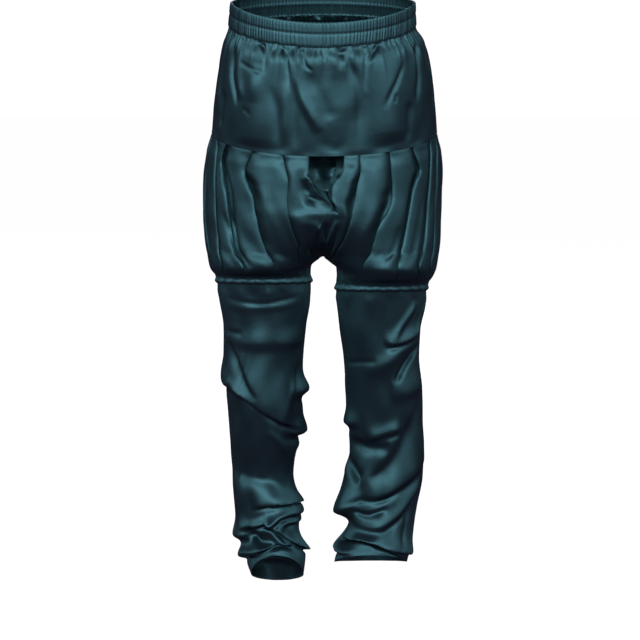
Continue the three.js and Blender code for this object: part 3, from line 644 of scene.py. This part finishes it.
YOKE_EASE = 9
# Of two sizes: how far apart the gathers are, how high they stand and how long they are.
YOKE_GATHERS = ((6, 2.6, 26), (11, 3, 64))
YOKE_RIPPLE = (46, 0.6, 1.6)


def yoke(name, node, start, folds, seed):
    z = np.linspace(WAIST_BOTTOM - SEAM, YOKE_SEAM + SEAM / 2, YOKE_ROWS)[:, None]
    z[0] += TUCKED_IN
    turn = np.linspace(start, start + 180, YOKE_COLUMNS)[None, :]
    z, turn = np.broadcast_arrays(z, turn)
    below = WAIST_BOTTOM - z
    x = (turn - start) * YOKE_SCALE
    out, _ = lay_folds(folds, turn, z, YOKE_SCALE)
    for step, kind in enumerate(YOKE_GATHERS):
        out = out + gathers(x, below, seed + step, 180 * YOKE_SCALE, *kind)
    out = out + ripple(x, z, seed + 2, *YOKE_RIPPLE) * smooth(below / 30)
    out = out - YOKE_TUCK * smooth(1 - below / YOKE_TUCK_REACH)
    out = np.maximum(out, -2.4 - 0.3 * below)
    out[0] = -TUCKED_IN
    out = out * smooth((z - YOKE_SEAM) / YOKE_EASE)
    p = waist_surface(np.radians(turn), z)
    p = p + outward(p) * out[..., None]
    piece = shell(name, p)
    stitch_row(f"{name}Stitches", p[-YOKE_STITCH_ROW], closed=False)
    return dress(piece, SATIN, node)


# Balloon panels. Each pleat's free edge runs down through places: a height, how far along the
# girth it lies, how proud it stands and how wide the valley beside it opens.
def pleat(*rows):
    return table("z along stand open", *rows)


RIGHT_FRONT_PLEATS = [
    pleat((-211, .042, 1, .1), (-246, .041, 1, .1), (-262, .036, 1, .1), (-270, .035, 1, 0),
          (-286, .026, 1, 0), (-294, .0165, .9, 0), (-299, .008, .7, 0), (-306, .003, .4, 0),
          (-314, .003, .1, 0), (-326, .012, 0, 0), (-340, .022, 0, 0), (-423, .05, .2, .1),
          (-457, .055, .6, .1)),
    pleat((-206, .123, 1, 0), (-235, .107, 1, .1), (-268, .096, .9, .1), (-299, .096, .45, .1),
          (-330, .095, .4, .1), (-356, .091, .8, .2), (-390, .086, 1, .25), (-423, .129, .8, .2),
          (-457, .136, .6, .1)),
    pleat((-209, .214, 1, .3), (-229, .226, 1, .1), (-250, .234, 1, .1), (-276, .216, 1, .35),
          (-300, .199, 1, .3), (-327, .195, .9, .2), (-346, .191, .9, .2), (-380, .191, .9, .2),
          (-407, .198, .8, .1), (-433, .211, .7, .1), (-457, .22, .6, .1)),
    pleat((-207, .329, 1, .2), (-226, .34, 1, .4), (-241, .341, 1, .35), (-267, .324, 1, .5),
          (-302, .3, 1, .55), (-333, .296, 1, .55), (-374, .297, 1, .45), (-404, .301, .9, .3),
          (-433, .303, .8, .2), (-457, .31, .6, .1)),
    pleat((-211, .4, 1, .2), (-224, .384, 1, .3), (-262, .369, 1, .3), (-306, .358, .9, .2),
          (-342, .357, .9, .2), (-387, .367, .9, .2), (-424, .386, .8, .2), (-457, .392, .6, .1)),
    pleat((-211, .472, .9, .1), (-330, .458, .9, .3), (-400, .455, .8, .3), (-457, .462, .6, .1)),
]
LEFT_FRONT_PLEATS = [
    pleat((-211, .061, 1, .1), (-237, .056, 1, .1), (-250, .047, 1, .1), (-258, .028, 1, 0),
          (-266, .014, 1, 0), (-281, .011, 1, 0), (-294, .012, .9, 0), (-306, .009, .6, 0),
          (-314, .008, .3, 0), (-330, .014, 0, 0), (-423, .03, .1, .1), (-470, .04, .4, .1)),
    pleat((-214, .105, 1, .1), (-243, .104, 1, .2), (-270, .095, 1, .3), (-299, .089, 1, .5),
          (-327, .082, 1, .55), (-356, .074, 1, .4), (-382, .066, 1, .3), (-403, .056, .9, .2),
          (-435, .07, .7, .1), (-470, .09, .5, .1)),
    pleat((-215, .197, 1, .2), (-245, .196, 1, .2), (-275, .198, 1, .3), (-300, .198, 1, .5),
          (-323, .189, 1, .5), (-344, .171, 1, .35), (-366, .163, 1, .3), (-391, .164, .9, .2),
          (-417, .182, .8, .2), (-453, .175, .7, .1), (-470, .18, .5, .1)),
    pleat((-219, .288, 1, .2), (-240, .296, 1, .3), (-255, .302, 1, .3), (-272, .287, 1, .3),
          (-294, .272, 1, .3), (-322, .265, 1, .25), (-346, .261, .9, .2), (-373, .26, .9, .2),
          (-399, .264, .8, .2), (-425, .289, .8, .2), (-470, .286, .5, .1)),
    pleat((-217, .382, 1, .1), (-252, .364, 1, .3), (-288, .354, 1, .3), (-324, .348, 1, .3),
          (-359, .349, .9, .2), (-394, .351, .9, .2), (-423, .361, .8, .2), (-470, .367, .5, .1)),
    pleat((-211, .45, .9, .1), (-226, .431, .9, .1), (-266, .411, .9, .3), (-319, .404, .9, .3),
          (-363, .41, .8, .3), (-407, .416, .8, .2), (-470, .42, .5, .1)),
]
# The hidden pleats of the back lean the other way, each with its own sway.
RIGHT_BACK_PLEATS = [
    pleat((-211, .038, 1, .1), (-300, .042, .9, .2), (-380, .046, .7, .2), (-457, .048, .5, .1)),
    pleat((-211, .1, 1, .2), (-270, .11, 1, .35), (-345, .103, .9, .3), (-457, .112, .6, .1)),
    pleat((-211, .188, 1, .2), (-262, .2, 1, .3), (-330, .19, .9, .4), (-457, .2, .6, .1)),
    pleat((-211, .278, 1, .2), (-280, .268, 1, .4), (-360, .276, .9, .3), (-457, .284, .6, .1)),
    pleat((-211, .368, 1, .2), (-255, .372, 1, .3), (-340, .362, .9, .3), (-457, .368, .6, .1)),
    pleat((-211, .455, .9, .1), (-330, .448, .9, .3), (-400, .45, .8, .2), (-457, .455, .6, .1)),
]
LEFT_BACK_PLEATS = [
    pleat((-211, .04, 1, .1), (-300, .038, .9, .2), (-380, .042, .7, .2), (-470, .046, .5, .1)),
    pleat((-211, .102, 1, .2), (-255, .096, 1, .3), (-340, .106, .9, .4), (-470, .11, .6, .1)),
    pleat((-211, .192, 1, .2), (-280, .182, 1, .4), (-350, .19, .9, .3), (-470, .198, .6, .1)),
    pleat((-211, .28, 1, .2), (-262, .288, 1, .3), (-335, .276, .9, .4), (-470, .286, .6, .1)),
    pleat((-211, .37, 1, .2), (-290, .362, 1, .4), (-370, .37, .9, .2), (-470, .372, .6, .1)),
    pleat((-211, .455, .9, .1), (-330, .46, .9, .3), (-400, .458, .8, .2), (-470, .46, .6, .1)),
]
CENTRE_LINE = table(
    "z x stand reach",
    (-200, 22, 1, .042), (-240, 22, 1, .042), (-252, 18, 1, .042), (-266, 12, 1, .048),
    (-281, 10, 1, .053), (-294, 9, .9, .055), (-300, 10, .7, .056), (-306, 14, .4, .06),
    (-314, 18, .1, .07), (-325, 19, 0, .08), (-340, 16, 0, .09), (-380, 5, 0, .09),
    (-408, 0, 0, .1), (-423, 0, 0, .1),
)
CENTRE_CALM = 0.016
TUCK_DEPTH = 9
PANEL_COLUMNS = 23
CENTRE_COLUMNS = 20
FLAT_ROWS, ROUND_ROWS, THIGH_ROWS = 20, 80, 16
GIRTH = 700
TURN_REACH, TURN_SPAN = 16, 26
# How far it is at some heights from the centre front round one side to the centre back.
GIRTH_AT, GIRTHS = [-457, -423, -262, -211], [560, 718, 560, 540]
BALLOON_GATHERS = (9, 2.4, 44)
BALLOON_RIPPLE = (40, 0.7, 2.2)
BACK_CENTRE = table("z stand", (-211, 1), (-290, 0.9), (-345, 0.5), (-385, 0.1), (-405, 0), (-423, 0))

# Secondary folds of the pleats, at a place along the girth and a height.
RIGHT_BALLOON_FOLDS = [
    fold([(.17, -270), (.155, -310), (.125, -370), (.13, -420)], (9, 9), 2),
    fold([(.06, -230), (.06, -300), (.055, -350)], (9, 10), -3),
    fold([(.05, -350), (.045, -385), (.06, -415)], (4, 4), -6),
    fold([(.026, -356), (.024, -380), (.034, -412)], (4, 4), -5),
    fold([(.14, -225), (.145, -280), (.14, -330)], (9, 10), -1.6),
    fold([(.31, -330), (.29, -390), (.28, -440)], (6, 6), -3),
]
LEFT_BALLOON_FOLDS = [
    fold([(.14, -232), (.145, -290), (.13, -350), (.11, -400)], (9, 9), 2),
    fold([(.23, -350), (.235, -400), (.24, -450)], (5, 5), -2.4),
    fold([(.31, -300), (.3, -370), (.32, -440)], (5, 5), -2.4),
    fold([(.08, -225), (.078, -265), (.062, -310)], (8, 8), 2),
    fold([(.02, -345), (.03, -380), (.03, -412)], (6, 6), -5),
]
# Swags between the thighs, at a distance from the centre to the garment's left and a height.
COWL = [
    fold([(-62, -345), (-38, -342), (-18, -338), (4, -338), (28, -340)], (9, 34), 4),
    fold([(-26, -264), (-25, -276), (-18, -292), (-9, -304), (4, -310), (15, -318), (24, -332)],
         (3.5, 3.5), 6, hang=-3),
    fold([(-28, -276), (-27, -296), (-20, -311), (-9, -319)], (8, 8), -12, ends=(.4, .3)),
    fold([(-15, -240), (-14, -262), (-11, -284)], (6, 6), -5, ends=(.05, .5)),
    fold([(0, -240), (1, -262), (-2, -282)], (7, 7), 8, ends=(.05, .6)),
    fold([(24, -236), (20, -258), (10, -278)], (7, 7), -9, ends=(.05, .5)),
    fold([(-14, -346), (-6, -372), (1, -400)], (6, 5), 7, ends=(.5, .3)),
    fold([(28, -346), (16, -372), (7, -400)], (5, 6), 7, ends=(.5, .3)),
    fold([(7, -350), (5, -372), (4, -408)], (6, 6), -7, ends=(.4, .5)),
]


def quarter(pleats, z, length, deep, centre):
    """From the centre to the side seam: where each column lies along the girth, how high of the
    pleat depth it stands and how deep of the centre hollow it sinks."""
    along = [track(p, "along", z) for p in pleats] + [np.full(len(z), 0.5)]
    stand = [track(p, "stand", z) for p in pleats] + [np.zeros(len(z))]
    opened = [track(p, "open", z) for p in pleats] + [np.zeros(len(z))]
    one = np.ones(len(z))
    none = np.zeros(len(z))
    tuck = [TUCK_DEPTH * s / length for s in stand]
    grids = [], [], []

    def strip(knots, count, first):
        at = np.linspace(0, len(knots) - 1, count)
        weights = spline_weights(len(knots), at if first else at[1:])
        for grid, column in zip(grids, zip(*knots)):
            grid.append(np.stack(column, -1) @ weights.T)

    edge, lap = along[0], tuck[0]
    drop = stand[0]
    strip([
        (0 * edge, one - centre, deep),
        (0.3 * edge, one - (2 * centre + drop) / 3, 0.93 * deep),
        (0.62 * edge, one - drop, 0.7 * deep),
        (0.9 * edge, one - drop, 0.42 * deep),
        (edge + 0.5 * lap, one - drop * 1.05, 0.2 * deep),
        (edge + lap, one - drop, 0.1 * deep),
    ], CENTRE_COLUMNS, True)
    for i in range(len(pleats)):
        edge, lap, drop = along[i], tuck[i], stand[i]
        far, next_lap, next_drop, wide = along[i + 1], tuck[i + 1], stand[i + 1], opened[i + 1]
        width = far - edge
        rim = deep * 0.1 if i == 0 else none
        sunk = next_drop * (0.34 + 0.66 * np.minimum(2 * wide, 1))
        shut = 1 - wide
        knots = [
            (edge + lap, one - 0.95 * drop, rim),
            (edge + 0.5 * lap, one - 0.6 * drop, rim),
            (edge + 0.1 * lap, one - 0.34 * drop, rim),
            (edge - 0.003 * drop, one - 0.16 * drop, none),
            (edge + 0.06 * width, one - 0.02 * drop, none),
            (edge + 0.3 * width * (1 - 0.25 * wide), one, none),
            (edge + 0.56 * width * (1 - 0.25 * wide), one, none),
            (edge + 0.78 * width * (1 - 0.3 * wide), one - 0.06 * sunk, none),
            (edge + 0.92 * width * (1 - 0.3 * wide), one - 0.45 * sunk, none),
            (far - 0.01 * width - 0.1 * wide * width, one - sunk, none),
            (far + 0.5 * next_lap, one - 1.04 * next_drop * (1 - 0.2 * shut), none),
            (far + next_lap, one - 0.95 * next_drop, none),
        ]
        strip(knots, PANEL_COLUMNS + 1, False)
    return [np.concatenate(grid, 1) for grid in grids]


def rounded(p, levels, bottom, place):
    """The same surface with its turn at the crotch's height made round, away from the centre."""
    reach = TURN_REACH * bell((levels - CROTCH) / TURN_SPAN)
    reach = 1 + reach * smooth((levels - bottom) / TURN_SPAN)
    gap = (levels[:, None] - levels[None, :]) / reach[:, None]
    weights = bell(gap) * np.abs(np.gradient(levels))[None, :]
    weights = weights / weights.sum(1, keepdims=True)
    even = np.einsum("ij,jkl->ikl", weights, p)
    share = smooth((place - 0.04) / 0.08)[..., None]
    return p + share * (even - p)


def balloon(side, front, leg, band, pleats, folds, seed):
    """One quarter of the balloon: the front or the back of one leg, from the yoke to the band."""
    bottom = band[0] + SEAM / 2
    arc = np.linspace(0, math.pi / 2, ROUND_ROWS)
    levels = np.concatenate([
        np.linspace(YOKE_SEAM - SEAM / 2, PARTING, FLAT_ROWS)[:-1],
        CROTCH + (PARTING - CROTCH) * (1 - np.sin(arc)),
        np.linspace(CROTCH, bottom, THIGH_ROWS)[1:],
    ])
    on_leg = levels < CROTCH
    length = np.interp(levels, GIRTH_AT, GIRTHS)
    deep = np.where(on_leg, 0.0, 1.0)
    centre_stand = track(CENTRE_LINE if front else BACK_CENTRE, "stand", levels)
    place, high, hollow = quarter(pleats, levels, length, deep, centre_stand)
    u = place if front else 1 - place
    z = np.broadcast_to(levels[:, None], u.shape)

    def base(at):
        return np.where(on_leg[:, None, None], leg_point(side, leg, at, z), hip_point(side, at, z))

    p = rounded(base(u), levels, bottom, place)
    ahead = rounded(base(np.clip(u + NEAR, 0, 1)), levels, bottom, place)
    behind = rounded(base(np.clip(u - NEAR, 0, 1)), levels, bottom, place)
    out = np.stack([side * (ahead - behind)[..., 1], -side * (ahead - behind)[..., 0], 0 * u], -1)
    out = unit(out)
    depth = np.where(on_leg[:, None], track(leg, "pleat", z), track(HIP, "pleat", z))
    cleft = track(CLEFT, "deep", z) * (1 if front else 0)
    push, sag = lay_folds(folds, place, z, GIRTH)
    ease = smooth((YOKE_SEAM - z) / 14) * smooth((z - bottom) / 12)
    x = place * GIRTH
    push = push + gathers(x, z - bottom, seed, 0.5 * GIRTH, *BALLOON_GATHERS)
    push = push + ripple(x, z, seed + 1, *BALLOON_RIPPLE)
    push = push * smooth(place / CENTRE_CALM)
    move = push * ease - depth * (1 - high) - cleft * hollow
    move[0] = -1
    p = p + out * move[..., None]
    p[0, :, 2] += 1
    p[-1, :, 2] -= TUCKED_IN
    if front:
        reach = smooth(1 - place / track(CENTRE_LINE, "reach", z))
        p[..., 0] += track(CENTRE_LINE, "x", z) * reach
        swag, fall = lay_folds(COWL, p[..., 0], p[..., 2], 1)
        held = smooth((z - CROTCH) / 40) * smooth((YOKE_SEAM - z) / 9)
        p = p + out * (swag * held)[..., None]
        p[..., 2] -= fall * held
    centre = track(CENTRE_LINE, "x", levels) if front else 0 * levels
    inner = (centre + side * CENTRE_SEAM / 2)[:, None]
    p[..., 0] = np.where(side * (p[..., 0] - inner) < 0, inner, p[..., 0])
    above = levels > CROTCH
    p[above, 0, 0] = inner[above, 0]
    word = "right" if side < 0 else "left"
    end = "front" if front else "back"
    piece = shell(f"Balloon{word.title()}{end.title()}", p)
    return dress(piece, SATIN_PLEATS, f"balloon_{word}_{end}")


# Bands round the legs
BAND_ROWS, BAND_COLUMNS = 9, 260
LEG_GIRTH = 540
BAND_PUFF, BAND_PROUD = 3.8, 0.3
BAND_GATHERS = (7, 0.7, 18)
BAND_SWAY, BAND_SWAYS = 0.4, 23
BAND_HIGH = 12


def from_middle(side, leg, p, z):
    middle = side * (track(leg, "inner", z) + track(leg, "outer", z)) / 2
    q = p.copy()
    q[..., 0] -= middle
    q[..., 2] = 0
    return unit(q)


def leg_band(side, leg, band, seed):
    word = "right" if side < 0 else "left"
    down = np.linspace(0, 1, BAND_ROWS)[:, None]
    along = (np.arange(BAND_COLUMNS) / BAND_COLUMNS)[None, :]
    z = band[0] - SEAM / 2 - down * (band[0] - band[1] - SEAM)
    z, along = np.broadcast_arrays(z, along)
    p = leg_point(side, leg, along, z)
    puff = BAND_PUFF * smooth(1.25 * down) * np.sqrt(np.maximum(1 - down ** 6, 0.1))
    wave = gathers(along * LEG_GIRTH, down * BAND_HIGH, seed, LEG_GIRTH, *BAND_GATHERS)
    p = p + from_middle(side, leg, p, z) * (BAND_PROUD + puff + wave)[..., None]
    p[..., 2] += BAND_SWAY * np.sin(along * 2 * math.pi * BAND_SWAYS)
    piece = shell(f"Band{word.title()}", p, thick=2.2, wrap=True)
    stitch_row(f"Band{word.title()}Stitches", p[2])
    return dress(piece, SATIN_BAND, f"band_{word}")


# Lower legs. Folds lie at a turn in degrees from the leg's front to its outer side, and a height.
LEG_SCALE = 1.4
RIGHT_LEG_FOLDS = [
    fold([(-56, -482), (-27, -489), (2, -495), (24, -493), (58, -487)], (3, 3), -1.6),
    fold([(-56, -494), (-20, -500), (30, -503), (60, -496)], (6, 6), 1.4),
    fold([(28, -547), (68, -548)], (4, 5), -2),
    fold([(-80, -566), (-9, -562), (60, -560)], (20, 10), 4, 1),
    fold([(50, -640), (88, -624), (140, -600)], (20, 13), 6, 4, under=.35),
    fold([(30, -660), (44, -640), (60, -628)], (10, 8), 5),
    fold([(8, -652), (26, -620), (40, -592), (62, -558)], (4, 17), -9),
    fold([(-130, -656), (-85, -650), (-36, -644)], (16, 12), 12, 4, under=.2),
    fold([(-92, -714), (-39, -699), (-17, -684), (3, -667), (21, -651), (41, -641), (96, -634)],
         (50, 8), 16, 13, under=0.1),
    fold([(-150, -718), (-88, -724), (-25, -714)], (18, 10), 11, 8, under=.35),
    fold([(-140, -846), (-60, -826), (-10, -806), (40, -800), (100, -796)], (56, 18), -12, ends=(.15, .25)),
    fold([(-52, -772), (-26, -742), (0, -720)], (9, 7), 2.5),
    fold([(52, -700), (54, -769), (57, -824)], (4, 4), 2),
    fold([(-130, -858), (-95, -852), (-40, -845), (-8, -846), (30, -856)], (16, 4), 8, 6, under=.5,
         ends=(.15, .3)),
    fold([(-95, -872), (-40, -866), (-8, -873), (22, -884), (66, -892)], (6, 5), 7, 5, under=.5,
         ends=(.15, .25)),
    fold([(-22, -908), (16, -912), (48, -900)], (9, 9), -12),
    fold([(-95, -888), (-50, -882), (-22, -881)], (7, 5), 5, 4, under=.4),
    fold([(-140, -938), (-95, -938), (-52, -918), (-31, -900), (-9, -883), (8, -880)], (10, 5), 10, 8,
         under=.6, ends=(.2, .15)),
    fold([(-44, -920), (-13, -911), (14, -918), (40, -930), (88, -940)], (9, 6), 10, 7, under=.5,
         ends=(.2, .15)),
    fold([(30, -896), (90, -912), (170, -908)], (18, 10), 10, 6, under=.35),
    fold([(60, -945), (110, -950), (170, -948)], (13, 7), 9, 7, under=.35),
]
RIGHT_HIDDEN_FOLDS = [
    fold([(130, -560), (180, -580), (230, -565)], (20, 12), 8, 5, under=.35),
    fold([(120, -640), (185, -632), (250, -650)], (22, 12), 10, 8, under=.35),
    fold([(120, -705), (160, -692), (200, -706)], (24, 14), 4, 2),
    fold([(185, -748), (225, -764), (270, -752)], (22, 12), 6, 4, under=.25),
    fold([(100, -782), (140, -800), (175, -792)], (16, 10), 3.5, 2),
    fold([(110, -868), (180, -852), (240, -870)], (20, 11), 11, 9, under=.4),
    fold([(130, -892), (185, -884), (225, -894)], (8, 5), 6, 5, under=.4),
    fold([(120, -918), (190, -906), (250, -922)], (14, 8), 10, 8, under=.4),
    fold([(100, -968), (180, -962), (255, -972)], (12, 7), 8, 6, under=.4),
]
LEFT_LEG_FOLDS = [
    fold([(16, -558), (34, -524), (50, -494)], (7, 5), 4.5, 1),
    fold([(54, -560), (66, -520), (78, -496)], (5, 5), 3),
    fold([(2, -562), (35, -556), (78, -538)], (12, 6), 6, 5, under=.45),
    fold([(-36, -618), (-7, -607), (19, -588), (36, -571), (78, -546)], (15, 14), 5, 1),
    fold([(15, -635), (30, -613), (47, -594), (80, -568)], (5, 6), -8),
    fold([(-80, -606), (-35, -599), (-5, -595)], (4, 5), -1.6),
    fold([(6, -652), (30, -650), (80, -640)], (24, 14), 5, 2),
    fold([(-120, -716), (-88, -712), (-40, -705)], (16, 9), 6, 4, under=.35),
    fold([(-24, -812), (1, -780), (22, -745), (40, -712), (64, -672)], (9, 18), -6, ends=(.2, .35)),
    fold([(-36, -736), (0, -721), (26, -713)], (12, 6), 4.5, 2, under=.4),
    fold([(-78, -744), (-31, -750), (6, -748)], (9, 13), -7),
    fold([(-100, -780), (-57, -798), (-34, -812)], (12, 9), -9),
    fold([(-26, -842), (2, -826), (24, -810), (46, -794), (92, -770)], (24, 9), 5.5, 5, under=.4),
    fold([(-125, -868), (-85, -866), (-30, -838)], (24, 13), 12, 9, under=.35),
    fold([(-66, -848), (-28, -845), (6, -840), (30, -817)], (6, 6), -3),
    fold([(-48, -862), (-17, -867), (14, -855)], (4, 5), -3.5),
    fold([(-80, -872), (-12, -882), (24, -869), (52, -830), (70, -806)], (14, 7), 6, 4, under=.3),
    fold([(-150, -930), (-85, -932), (-20, -936)], (13, 8), 9, 6, under=.35),
    fold([(-84, -914), (-39, -903), (-10, -905), (17, -917), (62, -938), (84, -946)], (16, 4.5), 12, 9,
         under=.6, ends=(.2, .2)),
    fold([(51, -850), (45, -890), (44, -928)], (8, 7), -4),
]
LEFT_HIDDEN_FOLDS = [
    fold([(130, -560), (180, -575), (230, -562)], (20, 12), 8, 5, under=.35),
    fold([(110, -650), (180, -636), (245, -645)], (22, 12), 10, 8, under=.35),
    fold([(150, -696), (195, -716), (250, -708)], (26, 14), 5, 3),
    fold([(95, -746), (135, -762), (165, -752)], (15, 9), 4, 3, under=.2),
    fold([(170, -806), (215, -790), (262, -812)], (20, 11), 7, 5, under=.3),
    fold([(100, -850), (175, -842), (240, -862)], (22, 12), 10, 8, under=.4),
    fold([(120, -880), (175, -872), (220, -884)], (8, 5), 6, 5, under=.4),
    fold([(110, -905), (180, -895), (245, -912)], (16, 9), 10, 8, under=.4),
    fold([(100, -944), (170, -938), (250, -950)], (12, 7), 8, 6, under=.4),
]
LEG_ROWS, LEG_COLUMNS_EACH = 190, 112
HEM_FREE = 26
HEM_STITCH_ROW = 6
LEG_HELD = 18
LEG_GATHERS = (12, 1.6, 40)
LEG_RIPPLE = (42, 0.9, 1.5)


def lower_leg(side, leg, band, folds, hidden, seed):
    """The front and the back of one lower leg, from the band to the hem."""
    word = "right" if side < 0 else "left"
    hem = leg["z"][0]
    top = band[1] - SEAM / 2
    down = np.linspace(0, 1, LEG_ROWS)
    down = down + 0.06 * np.sin(math.pi * down)
    down = (down / down[-1])[:, None]
    z = top + (hem - top) * down
    for end, first in (("front", 0.0), ("back", 0.5)):
        along = np.linspace(first, first + 0.5, LEG_COLUMNS_EACH)[None, :]
        level, along = np.broadcast_arrays(z, along)
        p = leg_point(side, leg, along, level)
        turn = 360 * (along - 0.25)
        out, sag = lay_folds(folds + hidden, turn, p[..., 2], LEG_SCALE)
        for shift in (-360, 360):
            more, lower = lay_folds(folds + hidden, turn + shift, p[..., 2], LEG_SCALE)
            out = out + more
            sag = sag + lower
        x = turn * LEG_SCALE
        edge = smooth((along - first) * 40) * smooth((first + 0.5 - along) * 40)
        out = out + ripple(x, level, seed, *LEG_RIPPLE) * edge
        out = out + gathers(x + LEG_GIRTH, top - level, seed + 3, LEG_GIRTH, *LEG_GATHERS)
        held = smooth((top - level) / LEG_HELD)
        free = smooth((level - hem) / HEM_FREE)
        p = p + from_middle(side, leg, p, level) * (out * held * (1 + free) / 2)[..., None]
        p[..., 2] -= sag * held * free
        p[0, :, 2] += TUCKED_IN
        piece = shell(f"Leg{word.title()}{end.title()}", p)
        stitch_row(f"Hem{word.title()}{end.title()}Stitches", p[-HEM_STITCH_ROW], closed=False)
        dress(piece, SATIN, f"leg_{word}_{end}")


# Stage: a pale floor and backdrop, soft lights and the camera at the photograph's angle.
FLOOR = -1.032
CAMERA = (-0.005, -4.5, 0.1)
AIM = (-0.005, 0, -0.535)
LIT = (0, 0, -0.5)
LENS = 146.1
SENSOR = 36
FLOOR_GREY, FLOOR_GLOW = (0.25, 0.25, 0.25), 3.9
WORLD_COLOUR, WORLD_STRENGTH = (1, 0.33, 0.58, 1), 0.11


def pale(name, colour, glow):
    material, _, surface = new_material(name)
    surface["Base Color"].default_value = (*colour, 1)
    surface["Roughness"].default_value = 0.9
    surface["Emission Color"].default_value = (*colour, 1)
    surface["Emission Strength"].default_value = glow
    return material


def plane(name, size, place):
    half = size / 2
    mesh = bpy.data.meshes.new(name)
    corners = [(-half, -half, 0), (half, -half, 0), (half, half, 0), (-half, half, 0)]
    mesh.from_pydata(corners, [], [(0, 1, 2, 3)])
    thing = put(name, mesh)
    thing.location = place
    return thing


def dome(name, radius):
    mesh = bpy.data.meshes.new(name)
    grown = bmesh.new()
    bmesh.ops.create_uvsphere(grown, u_segments=48, v_segments=24, radius=radius)
    bmesh.ops.reverse_faces(grown, faces=grown.faces)
    grown.to_mesh(mesh)
    grown.free()
    thing = put(name, mesh)
    return thing


def studio():
    floor = plane("Floor", 30, (0, 0, FLOOR))
    floor.data.materials.append(pale("floor_pale", FLOOR_GREY, FLOOR_GLOW))
    backdrop = dome("Backdrop", 14)
    backdrop.data.materials.append(pale("backdrop_pale", (1, 1, 1), 1))
    for thing in (floor, backdrop):
        thing.visible_glossy = False
        thing.visible_diffuse = False
    backdrop.visible_shadow = False
    bpy.context.scene.view_settings.view_transform = "Standard"
    world = bpy.data.worlds.new("Studio")
    bpy.context.scene.world = world
    world.use_nodes = True
    background = world.node_tree.nodes["Background"]
    background.inputs["Color"].default_value = WORLD_COLOUR
    background.inputs["Strength"].default_value = WORLD_STRENGTH


def soft_light(name, place, size, power):
    data = bpy.data.lights.new(name, "AREA")
    data.shape = "RECTANGLE"
    data.size, data.size_y = size
    data.energy = power
    light = put(name, data)
    light.location = place
    point_at(light, LIT)


def point_at(thing, aim):
    way = np.array(aim, float) - np.array(thing.location)
    flat = math.hypot(way[0], way[1])
    thing.rotation_euler = (math.atan2(flat, -way[2]), 0, math.atan2(-way[0], way[1]))


def lights():
    soft_light("Key", (-0.5, -4.0, 1.5), (3.4, 1.2), 122)
    soft_light("Front", (0.3, -4.6, -0.1), (2.4, 1.2), 24)
    soft_light("Back", (1.0, 4.2, 1.7), (2.4, 1.2), 70)


def camera():
    data = bpy.data.cameras.new("Camera")
    data.lens = LENS
    data.sensor_width = SENSOR
    data.clip_end = 60
    thing = put("Camera", data)
    thing.location = CAMERA
    point_at(thing, AIM)
    bpy.context.scene.camera = thing


waistband()
yoke("YokeFront", "yoke_front", -90, YOKE_FRONT_FOLDS, 11)
yoke("YokeBack", "yoke_back", 90, YOKE_BACK_FOLDS, 31)
balloon(-1, True, RIGHT_LEG, RIGHT_BAND, RIGHT_FRONT_PLEATS, RIGHT_BALLOON_FOLDS, 41)
balloon(-1, False, RIGHT_LEG, RIGHT_BAND, RIGHT_BACK_PLEATS, [], 43)
balloon(1, True, LEFT_LEG, LEFT_BAND, LEFT_FRONT_PLEATS, LEFT_BALLOON_FOLDS, 45)
balloon(1, False, LEFT_LEG, LEFT_BAND, LEFT_BACK_PLEATS, [], 47)
leg_band(-1, RIGHT_LEG, RIGHT_BAND, 51)
leg_band(1, LEFT_LEG, LEFT_BAND, 53)
lower_leg(-1, RIGHT_LEG, RIGHT_BAND, RIGHT_LEG_FOLDS, RIGHT_HIDDEN_FOLDS, 61)
lower_leg(1, LEFT_LEG, LEFT_BAND, LEFT_LEG_FOLDS, LEFT_HIDDEN_FOLDS, 71)
studio()
lights()
camera()
